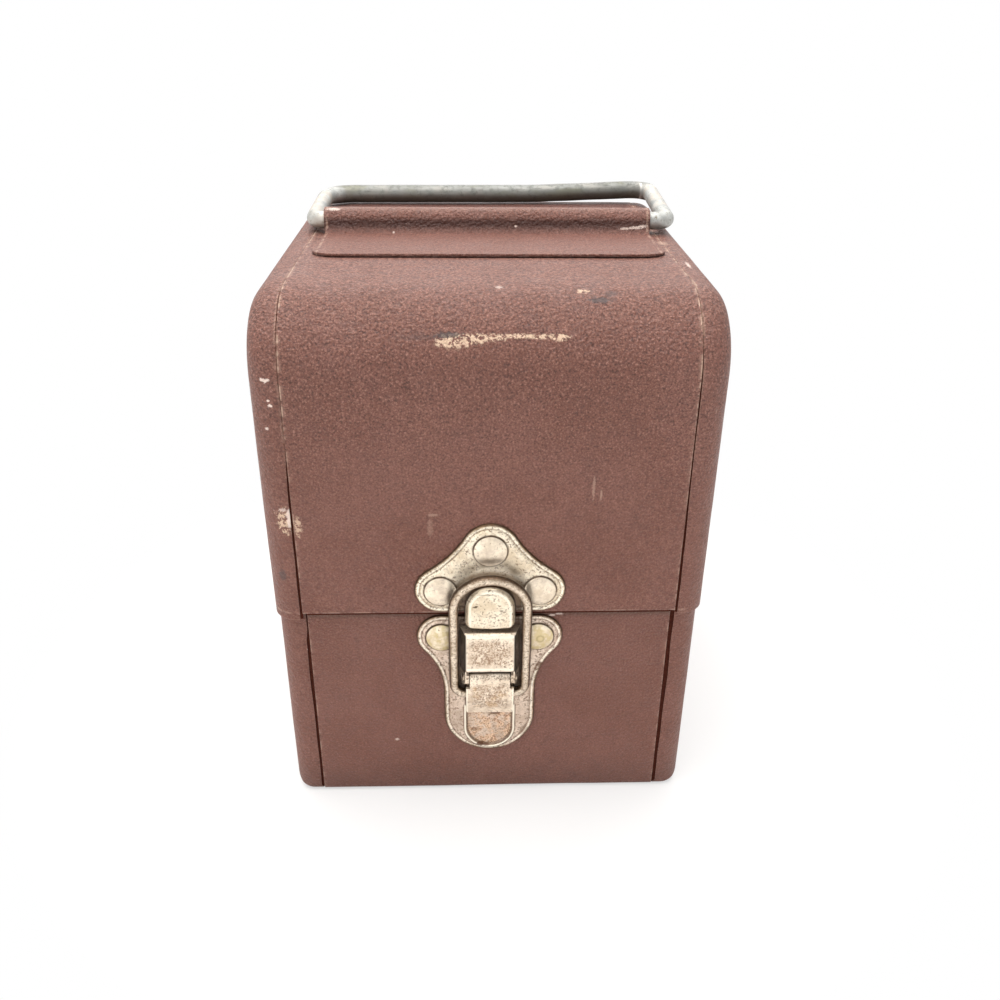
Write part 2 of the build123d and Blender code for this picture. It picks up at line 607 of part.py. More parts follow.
with BuildPart() as lever_bracket:
    with BuildSketch(Plane.XY.offset(bracket_bottom)):
        with BuildLine():
            Polyline(
                (-BRACKET_HALF_WIDTH, bracket_face),
                (BRACKET_HALF_WIDTH, bracket_face),
                (bracket_foot, bracket_seat),
                (-bracket_foot, bracket_seat),
                close=True,
            )
        make_face()
    extrude(amount=bracket_top - bracket_bottom)
    face_edges = lever_bracket.faces().sort_by(Axis.Y)[0].edges()
    fillet(face_edges.sort_by(Axis.Z)[1:], BRACKET_BEND)
    open_back = lever_bracket.faces().sort_by(Axis.Y)[-1]
    open_foot = lever_bracket.faces().sort_by(Axis.Z)[0]
    offset(amount=-BRACKET_SHEET, openings=[open_back, open_foot])
    add(lug.part)
    mirror(lug.part, about=Plane.YZ)
    with BuildSketch(front_plane(base_front)):
        for tab_bottom in tab_bottoms:
            for side in (-1, 1):
                with Locations((side * (bracket_foot - bracket_wall / 2), tab_bottom + TAB_HEIGHT / 2)):
                    Rectangle(bracket_wall, TAB_HEIGHT)
    extrude(amount=plate_rise)
write(lever_bracket, "lever_bracket")

with BuildPart() as lever_pin:
    with BuildSketch(side_plane(-lug_outer - PIN_END)):
        with Locations((pivot_y, pivot_z)):
            Circle(PIN / 2)
    extrude(amount=2 * (lug_outer + PIN_END))
    chamfer(lever_pin.edges().filter_by(GeomType.CIRCLE), PIN_END_CHAMFER)
write(lever_pin, "lever_pin")

# Lever: a sheet rolled round its pin, with two cheeks that carry the ends of the loop
lever_face_y = pivot_y - LUG_RADIUS
tip_y = base_front - LEVER_TIP_PROUD
break_z = pivot_z - LEVER_BREAK
with BuildPart() as latch_lever:
    with BuildSketch(side_plane(-LEVER_HALF_WIDTH)):
        with BuildLine():
            Polyline(
                (lever_face_y, pivot_z),
                (lever_face_y, break_z),
                (tip_y, lever_tip_z),
                (tip_y + LEVER_SHEET, lever_tip_z),
                (lever_face_y + LEVER_SHEET, break_z),
                (lever_face_y + LEVER_SHEET, pivot_z),
                close=True,
            )
        make_face()
    extrude(amount=2 * LEVER_HALF_WIDTH)
    tip_corners = latch_lever.edges().filter_by(Axis.Y).group_by(Axis.Z)[0]
    fillet(tip_corners, LEVER_TIP_ROUND)
    with BuildSketch(front_plane(lever_face_y)):
        for side in (-1, 1):
            with Locations((side * LEVER_HALF_WIDTH, pivot_z)):
                Rectangle(2 * (LEVER_HALF_WIDTH - knuckle_half), 2 * LEVER_SHOULDER)
    extrude(amount=-2 * LEVER_SHEET, mode=Mode.SUBTRACT)
    with BuildSketch(side_plane(-knuckle_half)):
        with Locations((pivot_y, pivot_z)):
            Circle(LUG_RADIUS)
    extrude(amount=2 * knuckle_half)
    for cheek_x in (-knuckle_half, knuckle_half - LEVER_SHEET):
        with BuildSketch(side_plane(cheek_x)):
            cheek_depth = loop_pivot_y - lever_face_y - LEVER_SHEET / 2
            with Locations((loop_pivot_y - cheek_depth / 2, loop_pivot_z)):
                Rectangle(cheek_depth, 2 * CHEEK_RADIUS)
            with Locations((loop_pivot_y, loop_pivot_z)):
                Circle(CHEEK_RADIUS)
                Circle(LOOP_WIRE / 2 + PIN_FIT, mode=Mode.SUBTRACT)
        extrude(amount=LEVER_SHEET)
    with BuildSketch(side_plane(-knuckle_half)):
        with Locations((pivot_y, pivot_z)):
            Circle(PIN / 2 + PIN_FIT)
    extrude(amount=2 * knuckle_half, mode=Mode.SUBTRACT)
write(latch_lever, "latch_lever")

# Loop: round wire bent to an arch, its ends turned in through the lever's cheeks
loop_length = hypot(loop_top_y - loop_pivot_y, loop_top_z - loop_pivot_z)
loop_up = Vector(0, loop_top_y - loop_pivot_y, loop_top_z - loop_pivot_z) / loop_length
loop_plane = Plane(
    origin=(0, loop_pivot_y, loop_pivot_z), x_dir=(1, 0, 0), z_dir=Vector(1, 0, 0).cross(loop_up)
)
tail_x = knuckle_half - LEVER_SHEET - LOOP_TAIL
arch_start = loop_length - LOOP_HALF_WIDTH
with BuildPart() as latch_loop:
    with BuildLine(loop_plane) as loop_path:
        FilletPolyline(
            (tail_x, 0), (LOOP_HALF_WIDTH, 0), (LOOP_HALF_WIDTH, arch_start), radius=LOOP_CORNER
        )
        ThreePointArc(
            (LOOP_HALF_WIDTH, arch_start),
            (LOOP_HALF_WIDTH * cos(radians(45)), arch_start + LOOP_HALF_WIDTH * sin(radians(45))),
            (0, loop_length),
        )
    with BuildSketch(Plane(origin=loop_path.line @ 0, z_dir=loop_path.line % 0)):
        Circle(LOOP_WIRE / 2)
    sweep()
    mirror(about=Plane.YZ)
write(latch_loop, "latch_loop")

# Hinges: two riveted butt hinges, whose base leaves are joggled out to the lid's face
joggle_top = hinge_z - HINGE_JOGGLE_START
joggle_foot = joggle_top - HINGE_JOGGLE_LENGTH
notch = hinge_knuckle + HINGE_KNUCKLE_GAP
for side_name, side in (("left", -1), ("right", 1)):
    leaf_x = side * hinge_x - HINGE_WIDTH / 2
    with BuildPart() as hinge_base_leaf:
        with BuildSketch(side_plane(leaf_x)):
            with BuildLine():
                Polyline(
                    (back, hinge_z),
                    (back, joggle_top),
                    (base_back, joggle_foot),
                    (base_back, hinge_z - HINGE_BASE_DROP),
                    (base_back + HINGE_SHEET, hinge_z - HINGE_BASE_DROP),
                    (base_back + HINGE_SHEET, joggle_foot),
                    (back + HINGE_SHEET, joggle_top),
                    (back + HINGE_SHEET, hinge_z),
                    close=True,
                )
            make_face()
            with Locations((hinge_y, hinge_z)):
                Circle(hinge_knuckle)
                Circle(HINGE_PIN / 2 + PIN_FIT, mode=Mode.SUBTRACT)
        extrude(amount=HINGE_WIDTH)
        with BuildSketch(front_plane(back - HINGE_SHEET)):
            with Locations((side * hinge_x, hinge_z)):
                Rectangle(HINGE_MIDDLE_KNUCKLE + 2 * HINGE_KNUCKLE_GAP, 2 * notch)
        extrude(amount=-4 * hinge_knuckle, mode=Mode.SUBTRACT)
        leaf_corners = hinge_base_leaf.edges().filter_by(Axis.Y).group_by(Axis.Z)[0]
        fillet(leaf_corners, HINGE_CORNER)
        hole_points = [(-x, z) for x, z in hinge_base_points if x * side > 0]
        cut_holes(back_plane(base_back + HINGE_SHEET), hole_points, hinge_hole, HINGE_SHEET)
    write(hinge_base_leaf, f"hinge_base_leaf_{side_name}")

    with BuildPart() as hinge_lid_leaf:
        with BuildSketch(side_plane(leaf_x)):
            with Locations((back + HINGE_SHEET / 2, hinge_z + HINGE_LID_RISE / 2)):
                Rectangle(HINGE_SHEET, HINGE_LID_RISE)
            with Locations((hinge_y, hinge_z)):
                Circle(hinge_knuckle)
                Circle(HINGE_PIN / 2 + PIN_FIT, mode=Mode.SUBTRACT)
        extrude(amount=HINGE_WIDTH)
        with BuildSketch(front_plane(back - HINGE_SHEET)):
            for end in (-1, 1):
                with Locations((side * hinge_x + end * (HINGE_WIDTH + HINGE_MIDDLE_KNUCKLE) / 2, hinge_z)):
                    Rectangle(HINGE_WIDTH, 2 * notch)
        extrude(amount=-4 * hinge_knuckle, mode=Mode.SUBTRACT)
        leaf_corners = hinge_lid_leaf.edges().filter_by(Axis.Y).group_by(Axis.Z)[-1]
        fillet(leaf_corners, HINGE_CORNER)
        hole_points = [(-x, z) for x, z in hinge_lid_points if x * side > 0]
        cut_holes(back_plane(back + HINGE_SHEET), hole_points, hinge_hole, HINGE_SHEET)
    write(hinge_lid_leaf, f"hinge_lid_leaf_{side_name}")

    with BuildPart() as hinge_pin:
        with BuildSketch(side_plane(leaf_x)):
            with Locations((hinge_y, hinge_z)):
                Circle(HINGE_PIN / 2)
        extrude(amount=HINGE_WIDTH)
        chamfer(hinge_pin.edges().filter_by(GeomType.CIRCLE), PIN_END_CHAMFER)
    write(hinge_pin, f"hinge_pin_{side_name}")

# Rivets of the hinges, with their burrs
hinge_grip = HINGE_SHEET + SHEET + BURR_SHEET
for leaf_name, face_y, points in (
    ("base", base_back, hinge_base_points),
    ("lid", back, hinge_lid_points),
):
    seen_from_behind = [(-x, z) for x, z in points]
    with BuildPart() as hinge_rivets:
        seat = back_plane(face_y + HINGE_SHEET)
        add(
            rivet(
                HINGE_RIVET_HEAD,
                HINGE_RIVET_DOME,
                HINGE_RIVET_SHANK,
                hinge_grip,
                RIVET_TAIL,
                seat,
                seen_from_behind,
            )
        )
    write(hinge_rivets, f"hinge_{leaf_name}_rivets")
    with BuildPart() as hinge_burrs:
        add(burrs(back_plane(face_y - SHEET), seen_from_behind, HINGE_BURR, HINGE_RIVET_SHANK))
    write(hinge_burrs, f"hinge_{leaf_name}_burrs")
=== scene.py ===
"""Film can carrying case: detailed meshes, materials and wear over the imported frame."""

import json
import math

import bmesh
import bpy
from mathutils import Matrix, Vector, noise
from mathutils.kdtree import KDTree


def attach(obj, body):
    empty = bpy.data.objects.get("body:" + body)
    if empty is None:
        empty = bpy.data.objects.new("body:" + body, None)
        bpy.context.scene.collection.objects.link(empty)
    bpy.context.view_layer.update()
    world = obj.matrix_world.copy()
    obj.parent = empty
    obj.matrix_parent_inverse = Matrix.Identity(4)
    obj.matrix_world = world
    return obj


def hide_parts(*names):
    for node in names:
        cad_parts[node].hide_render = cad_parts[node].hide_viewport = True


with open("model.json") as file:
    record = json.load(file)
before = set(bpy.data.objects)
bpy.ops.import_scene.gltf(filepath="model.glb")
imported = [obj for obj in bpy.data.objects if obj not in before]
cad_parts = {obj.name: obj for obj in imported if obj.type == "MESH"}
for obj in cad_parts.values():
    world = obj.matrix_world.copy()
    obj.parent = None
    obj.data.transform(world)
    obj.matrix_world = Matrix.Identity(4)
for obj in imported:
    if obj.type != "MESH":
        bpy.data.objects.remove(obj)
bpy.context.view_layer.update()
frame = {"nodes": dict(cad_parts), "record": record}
MM = 0.001

# Camera, as fitted to the case's edges in the photograph (mm and degrees)
CAMERA_PLACE = (-7.985, -401.72, 303.80)
CAMERA_LENS = 34.43
CAMERA_YAW = 2.138
CAMERA_PITCH = 28.0
CAMERA_ROLL = 0.629

# The case, in mm, as in the CAD model
SHEET = 1.0
FRONT = -98.0
BACK = 98.0
TOP = 214.2
HALF_WIDTH = 83.2
LID_BEND = 27.3
LID_EDGE_ROUND = 9.5
LID_SEAM = 71.5  # half the width of the lid's wrap
LID_EDGE = 93.5  # lower edge of the lid's wrap
LID_CAP_DROPS = {"left": 2.9, "right": 1.4}  # how far each end cap reaches below that edge
CAP_FLANGE = 20.0
FIBRE_WAVES = [(60.0, 0.16), (13.0, 0.05)]  # size and height of the sheet's unevenness
CAP_STEP = 0.2  # how far a cap lies behind the wrap, outside the groove along the seam
# The groove's section: distance outward from the seam, and inset
GROOVE_SECTION = [(-0.05, SHEET), (0.05, 0.6), (0.15, CAP_STEP + 0.1), (0.4, CAP_STEP)]
LID_SHADE_TOP = {"left": 160, "right": 196}  # below this height the groove holds the painted shade
BASE_LINE = (92.6, 91.0)  # heights of the painted shadow under the lid's edge, on the row of the base's wrap between them
BASE_FRONT = -95.2
BASE_BACK = 95.5
BASE_HALF = 82.0
BASE_BEND = 3.0
BASE_EDGE_ROUND = 7.5
BASE_SEAM = 70.4
COLLAR_TOP = 103.8

ROD = 3.55  # radius of the bail's rod
GRIP = 3.95  # radius of its far bar
ROD_Y = 6.2
ROD_Z = 219.35
BAIL_X = 2.4
BAIL_HALF = 73.7
# Corners of the far bar, whose right end has been bent out and up
BAIL_FAR_LEFT = (-73.6, 68.6, 218.5)
BAIL_FAR_MIDDLE = (24.0, 69.6, 218.75)
BAIL_FAR_RIGHT = (79.2, 71.5, 220.7)

STRIP_X = 0.8
STRIP_HALF = 66.9
STRIP_SHEET = 1.2
STRIP_OVERHANG = 0.5
STRIP_FRONT = ROD_Y - 43.2
STRIP_BACK = ROD_Y + 15.0
STRIP_CORNER = (9.0, 7.0)  # along the front edge and along the side
STRIP_EAR = 1.3  # how far the front corners spread
STRIP_LIFT = 0.30  # how far the front edge has lifted
FOLD_BORE = 3.95
FOLD_OUTER = 5.15
FOLD_FILLET = 3.9
FOLD_REACH = FOLD_OUTER + FOLD_FILLET

# The latch
PLATE_RISE = 1.4
PLATE_TOP = (-101.4, -101.0)  # depths between which the strike plate's dirt fades out on the nose
RIVET_RADIUS = 6.1
TOP_RIVET_RADIUS = 6.3
RIVET_X = 18.8
RIVET_WASHER = 0.9  # thickness of the burr inside
STRIKE_RIVET_Z = 104.2
STRIKE_TOP_Z = 121.6
STRIKE_BOTTOM = 94.4
STRIKE_TOP_RADIUS = 11.0
LOBE = 9.8
STRIKE_WAIST = 46.0
LATCH_TOP = 90.7
LATCH_GAP = (92, 94)  # heights between the rivets of the base and those of the lid
LATCH_BOTTOM = 23.1
LATCH_RIVET_Z = 80.9
LATCH_TOE = 18.3
LATCH_WAIST = 30.0
RECESS_HALF = 9.4
RECESS_BOTTOM = 25.6
RECESS_TOP = 60.2
RECESS_FLOOR = 0.5
RIM_TOP = 51.7
NOSE_BOTTOM = 88.6
NOSE_TOP = 106.7
NOSE_CROWN = 9.1
NOSE_HALF = 9.2
NOSE_CORNER = 2.6
NOSE_PROUD = 4.6
WIRE = 1.9  # radius of the loop's wire
LOOP_HALF = 14.0
LOOP_FOOT = (-98.9, 55.3)  # depth and height of its pivot
LOOP_CROWN = (-105.4, 112.7)
LOOP_TAIL_X = 5.2
LOOP_CORNER = 4.8

# Rivets as (x, z, radius)
STRIKE_RIVETS = [(0, STRIKE_TOP_Z, TOP_RIVET_RADIUS)]
STRIKE_RIVETS += [(x, STRIKE_RIVET_Z, RIVET_RADIUS) for x in (-RIVET_X, RIVET_X)]
LATCH_RIVETS = [(x, LATCH_RIVET_Z, RIVET_RADIUS) for x in (-RIVET_X, RIVET_X)]
HINGE_RIVETS = [(x, z, 3.2) for x in (-33.7, -55.7, 33.7, 55.7) for z in (74.8, 109.3)]


def link(name, data):
    """An object for the data, placed in the scene."""
    made = bpy.data.objects.new(name, data)
    bpy.context.scene.collection.objects.link(made)
    return made


def make_camera():
    yaw, pitch, roll = (math.radians(a) for a in (CAMERA_YAW, CAMERA_PITCH, CAMERA_ROLL))
    forward = Vector(
        (math.sin(yaw) * math.cos(pitch), math.cos(yaw) * math.cos(pitch), -math.sin(pitch))
    )
    right = Vector((math.cos(yaw), -math.sin(yaw), 0))
    up = right.cross(forward)
    rolled_right = math.cos(roll) * right + math.sin(roll) * up
    rolled_up = math.cos(roll) * up - math.sin(roll) * right
    data = bpy.data.cameras.new("camera")
    data.lens = CAMERA_LENS
    data.sensor_width = 36
    data.clip_start = 0.01
    camera = link("camera", data)
    axes = Matrix((rolled_right, rolled_up, -forward)).transposed()
    camera.matrix_world = Matrix.Translation(Vector(CAMERA_PLACE) * MM) @ axes.to_4x4()
    bpy.context.scene.camera = camera


# Shader graphs


class Field:
    """A number or vector that varies over the surface, and takes part in sums."""

    def __init__(self, graph, socket):
        self.graph, self.socket = graph, socket

    def __mul__(self, other):
        return self.graph.math("MULTIPLY", self, other)

    def __add__(self, other):
        return self.graph.math("ADD", self, other)

    def __sub__(self, other):
        return self.graph.math("SUBTRACT", self, other)

    def __rsub__(self, other):
        return self.graph.math("SUBTRACT", other, self)

    def __abs__(self):
        return self.graph.math("ABSOLUTE", self)


class Graph:
    """A material's nodes, with short ways to add and join them, and the colour laid so far."""

    def __init__(self, name):
        self.material = bpy.data.materials.new(name)
        self.material.use_nodes = True
        self.tree = self.material.node_tree
        self.tree.nodes.clear()
        self.color = None
        self.fine = None
        coordinates = self.tree.nodes.new("ShaderNodeTexCoord")
        self.place = self.vector("MULTIPLY", coordinates.outputs["Object"], (1 / MM,) * 3)
        parts = self.node("ShaderNodeSeparateXYZ", {0: self.place})
        self.x, self.y, self.z = (Field(self, part) for part in parts.outputs)
        facing = self.node("ShaderNodeSeparateXYZ", {0: coordinates.outputs["Normal"]})
        self.facing = [Field(self, part) for part in facing.outputs]

    def set(self, socket, value):
        value = value.socket if isinstance(value, Field) else value
        if isinstance(value, bpy.types.NodeSocket):
            self.tree.links.new(value, socket)
        else:
            socket.default_value = value

    def node(self, kind, inputs=None, **settings):
        node = self.tree.nodes.new(kind)
        for name, value in settings.items():
            setattr(node, name, value)
        for name, value in (inputs or {}).items():
            self.set(node.inputs[name], value)
        return node

    def field(self, output, kind, inputs=None, **settings):
        return Field(self, self.node(kind, inputs, **settings).outputs[output])

    def math(self, operation, a, b=0.0, clamp=False):
        return self.field(0, "ShaderNodeMath", {0: a, 1: b}, operation=operation, use_clamp=clamp)

    def vector(self, operation, a, b=(0, 0, 0)):
        output = "Value" if operation in ("LENGTH", "DOT_PRODUCT") else "Vector"
        return self.field(output, "ShaderNodeVectorMath", {0: a, 1: b}, operation=operation)

    def noise(self, size, detail=2.0, rough=0.5, shift=(0, 0, 0), stretch=(1, 1, 1)):
        """Noise whose features are about size mm across."""
        place = self.vector("MULTIPLY", self.place, tuple(s / size for s in stretch))
        place = self.vector("ADD", place, shift)
        inputs = {"Vector": place, "Scale": 1.0, "Detail": detail, "Roughness": rough}
        return self.field("Fac", "ShaderNodeTexNoise", inputs)

    def cells(self, size, shift, feature):
        place = self.vector("ADD", self.vector("MULTIPLY", self.place, (1 / size,) * 3), shift)
        inputs = {"Vector": place, "Scale": 1.0}
        return self.field("Distance", "ShaderNodeTexVoronoi", inputs, feature=feature)

    def span(self, value, low, high, to_low=0.0, to_high=1.0, smooth=True):
        """value between low and high, carried over to another range and held at its ends."""
        inputs = {
            "Value": value, "From Min": low, "From Max": high, "To Min": to_low, "To Max": to_high,
        }
        kind = "SMOOTHSTEP" if smooth else "LINEAR"
        return self.field("Result", "ShaderNodeMapRange", inputs, interpolation_type=kind)

    def band(self, value, low, high, soft):
        """Mask that is 1 where value lies between low and high."""
        rise = self.span(value, low - soft, low + soft)
        return rise * self.span(value, high - soft, high + soft, 1.0, 0.0)

    def mix(self, factor, a, b):
        node = self.node("ShaderNodeMix", data_type="RGBA")
        self.set(node.inputs["Factor"], factor)
        for socket, value in ((node.inputs[6], a), (node.inputs[7], b)):
            self.set(socket, value if isinstance(value, bpy.types.NodeSocket) else (*value, 1))
        return node.outputs[2]

    def lay(self, mask, tint):
        """Lay a tint over the colour so far."""
        self.color = self.mix(mask, self.color, tint)

    def spot(self, centre, radii, ragged, edge=0.35):
        """Mask of a ragged spot round centre (mm), 1 inside and 0 outside."""
        away = self.vector("SUBTRACT", self.place, centre)
        distance = self.vector("LENGTH", self.vector("DIVIDE", away, radii))
        rough = self.noise(min(radii) * 0.8, 3.0, 0.6, shift=(*centre[:2], 0))
        distance = distance + (rough - 0.5) * (ragged * 2)
        return self.span(distance, 1 - edge, 1 + edge, 1.0, 0.0)

    def from_axis(self, x, z):
        """Distance in mm from a line through (x, z) that runs along Y."""
        away = self.vector("SUBTRACT", self.place, (x, 0, z))
        return self.vector("LENGTH", self.vector("MULTIPLY", away, (1, 0, 1)))

    def from_point(self, across, along):
        """Length of the two distances taken together."""
        return self.math("SQRT", across * across + along * along)

    def attribute(self, name):
        return self.field("Fac", "ShaderNodeAttribute", attribute_name=name)

    def edges(self, radius):
        """Mask of the piece's convex and hollow edges."""
        bevel = self.field(0, "ShaderNodeBevel", {"Radius": radius * MM}, samples=4)
        flat = self.field("Normal", "ShaderNodeNewGeometry")
        return self.math("SUBTRACT", 1.0, self.vector("DOT_PRODUCT", bevel, flat), clamp=True)

    def hollows(self, distance):
        """Mask of corners and gaps, from ambient occlusion."""
        inputs = {"Distance": distance * MM}
        depth = self.field("AO", "ShaderNodeAmbientOcclusion", inputs, samples=6)
        return self.math("SUBTRACT", 1.0, depth, clamp=True)

    def bump(self, height, distance, normal=None):
        inputs = {"Height": height, "Distance": distance * MM, "Strength": 1.0}
        if normal is not None:
            inputs["Normal"] = normal
        return self.field("Normal", "ShaderNodeBump", inputs)

    def finish(self, roughness, normal, metallic=0.0, specular=0.5):
        inputs = {
            "Base Color": self.color, "Roughness": roughness, "Metallic": metallic,
            "Specular IOR Level": specular, "Normal": normal,
        }
        self.show(self.node("ShaderNodeBsdfPrincipled", inputs))
        return self.material

    def show(self, shader):
        output = self.tree.nodes.new("ShaderNodeOutputMaterial")
        self.tree.links.new(shader.outputs[0], output.inputs["Surface"])


# Colours of the fibre
BROWN = (0.178, 0.063, 0.041)
BROWN_PALE = (0.205, 0.080, 0.057)
WORN = (0.50, 0.33, 0.25)
TAN = (0.72, 0.52, 0.37)
CHIP = (0.86, 0.70, 0.62)
# Painted shadow along the strip's front edge, on the strip and on the lid
STRIP_EDGE_SHADOW = (0.026, 0.007, 0.004)
SMUDGE = (0.050, 0.036, 0.036)

# Colours of the dirt and painted shade on the metal
RUST = (0.17, 0.085, 0.042)
DEEP = (0.040, 0.019, 0.010)
OUTLINE = (0.075, 0.040, 0.020)
RUBBED = (0.97, 0.91, 0.77)


def fibre_color(g, contrast=1.0):
    """Brown that drifts from place to place, with a fine light and dark grain. The grain's flecks and
    creases also paint the light and shade of the pebbles, stronger towards the top, where light grazes
    them.
    """
    broad = g.noise(38, 3.0, 0.55)
    patch = g.noise(8, 3.0, 0.6, shift=(4, 9, 2))
    grain = g.noise(0.75, 2.0, 0.7, shift=(7, 3, 1))
    creases = g.cells(1.25, shift=(2, 2, 5), feature="DISTANCE_TO_EDGE")
    streak = g.noise(2.2, 2.0, 0.6, shift=(1, 8, 3), stretch=(1, 1, 0.12))
    # Painted light and shade of the pebbles: the grain's contrast grows towards the top.
    pebble_shade_lift = g.span(g.z, 110, 206, 0.45, 1.0)
    g.color = g.mix(g.span(broad, 0.35, 0.65), BROWN, BROWN_PALE)
    g.lay(g.span(patch, 0.5, 0.75) * 0.3, (0.27, 0.125, 0.09))
    g.lay(g.span(patch, 0.46, 0.26) * 0.35, (0.13, 0.042, 0.03))
    g.lay(g.span(streak, 0.55, 0.75) * 0.18, (0.11, 0.04, 0.03))
    # On the top, coarser painted light and shade of the pebbles.
    top = g.span(g.z, 196, 211)
    coarse = g.noise(1.25, 3.0, 0.65, shift=(3, 8, 2), stretch=(1, 0.6, 0.9))
    light = g.span(grain, 0.52, 0.68) * pebble_shade_lift
    light = g.math("MAXIMUM", light, g.span(coarse, 0.5, 0.66, 0.0, 0.85) * top)
    dark = g.span(grain, 0.48, 0.32) * pebble_shade_lift
    dark = g.math("MAXIMUM", dark, g.span(coarse, 0.48, 0.3, 0.0, 0.85) * top)
    crease_shade = g.span(creases, 0.14, 0.02) * pebble_shade_lift
    g.lay(light * (0.6 * contrast), (0.43, 0.225, 0.17))
    g.lay(dark * (0.9 * contrast), (0.05, 0.015, 0.01))
    g.lay(crease_shade * 0.45, (0.06, 0.018, 0.012))
    grain = grain + (coarse - 0.5) * top
    return grain, patch


def fibre_bump(g, grain):
    pebble = g.cells(1.25, shift=(2, 2, 5), feature="SMOOTH_F1")
    height = pebble * -0.9 + grain * 0.9
    return g.bump(g.noise(16, 2.0), 0.30, g.bump(height, 0.75))


def add_stains(g, stains, crumbs=None, ragged=1.1):
    """Lay ragged stains, each (centre, radii, colour, strength), the tan ones broken into crumbs."""
    for centre, radii, tint, strength in stains:
        mask = g.spot(centre, radii, ragged) * strength
        if crumbs and tint == TAN:
            mask = mask * crumbs
        g.lay(mask, tint)


def fibre_material(name, seam, stains, paint):
    """Outside of the lid or the base; paint adds dirt, wear and painted shade of its own."""
    g = Graph(name)
    grain, patch = fibre_color(g)
    worn = g.span(g.edges(0.8) + grain * 0.12, 0.1, 0.36)
    g.lay(worn * 0.4, WORN)
    side = abs(g.x)
    scuffed = g.span(g.noise(4, 3.0, 0.7, shift=(9, 1, 4)), 0.44, 0.60)
    high = g.span(g.z, 150, 190, 0.35, 0.90)
    rubbed = g.band(side, seam - 0.55, seam + 0.02, 0.08) * scuffed
    g.lay(rubbed * high, WORN)
    wide = g.band(side, seam - 1.3, seam + 0.9, 0.5) * (scuffed * high)
    g.lay(wide * 0.28, WORN)
    paint(g)
    crumbs = g.span(g.noise(1.5, 3.0, 0.8, shift=(4, 1, 6)), 0.44, 0.52)
    add_stains(g, stains, crumbs)
    rough = g.span(patch, 0.3, 0.7, 0.46, 0.58)
    return g.finish(rough, fibre_bump(g, grain), specular=0.5)


def groove_shade_material():
    """Painted shade that fills the seams' grooves and the line under the lid's edge: dark and without
    shine, as the shade there looks.
    """
    g = Graph("fibre_groove_shade")
    fine = g.noise(1.0, 3.0, 0.7)
    g.color = g.mix(g.span(fine, 0.35, 0.65), (0.048, 0.012, 0.008), (0.075, 0.022, 0.014))
    return g.finish(g.span(fine, 0.3, 0.7, 0.85, 0.95), g.bump(fine, 0.05), specular=0.05)


def lid_wear_and_shade(g):
    """A painted shadow round the strip's edge, painted shade under the bail's far bar, and a rubbed
    lower edge.
    """
    reach = STRIP_HALF - STRIP_CORNER[0]
    over_x = abs(g.x - STRIP_X) - reach
    over_x = g.math("MAXIMUM", over_x, 0.0) * (STRIP_CORNER[1] / STRIP_CORNER[0])
    over_y = g.math("MAXIMUM", STRIP_FRONT + STRIP_CORNER[1] - g.y, 0.0)
    away = g.from_point(over_x, over_y) - STRIP_CORNER[1]
    # Painted shadow: a dark line round the strip's edge, strongest in front of it.
    line = g.band(away, -2.5, 0.22, 0.15) * g.span(g.z, TOP - 2.0, TOP - 1.0)
    ahead = g.span(g.y, STRIP_FRONT + 14, STRIP_FRONT + 4, 0.25, 1.0)
    g.lay(line * (ahead * 0.9), STRIP_EDGE_SHADOW)
    scuffed = g.span(g.noise(6, 3.0, 0.7, shift=(3, 7, 4)), 0.44, 0.60)
    foot = g.band(g.z, LID_EDGE - 0.4, LID_EDGE + 0.6, 0.15) * scuffed
    g.lay(foot * 0.45, WORN)
    # Painted shade on the lid where the bail's far bar lies, dulling the lid's sheen in front of the
    # bar.
    under = g.band(g.y, 16, 74, 3) * g.span(abs(g.x), 72, 66)
    g.lay(under * 0.5, (0.085, 0.026, 0.018))


def base_shade_and_foot(g):
    """A painted shadow under the lid's edge that fades to olive, and colour that darkens towards the
    bottom.
    """
    # Painted shadow under the lid's edge, between the seams.
    under = g.span(abs(g.x), LID_SEAM + 0.2, LID_SEAM - 0.2)
    olive_shadow = g.span(g.z, 88.4, 91.4, 0.0, 0.62) * g.span(g.z, 94.0, 92.5)
    g.lay(under * olive_shadow, (0.06, 0.03, 0.016))
    foot = g.span(g.z + g.noise(12, 3.0) * 14, 4, 30, 0.4, 0.0)
    g.lay(foot, (0.085, 0.038, 0.028))


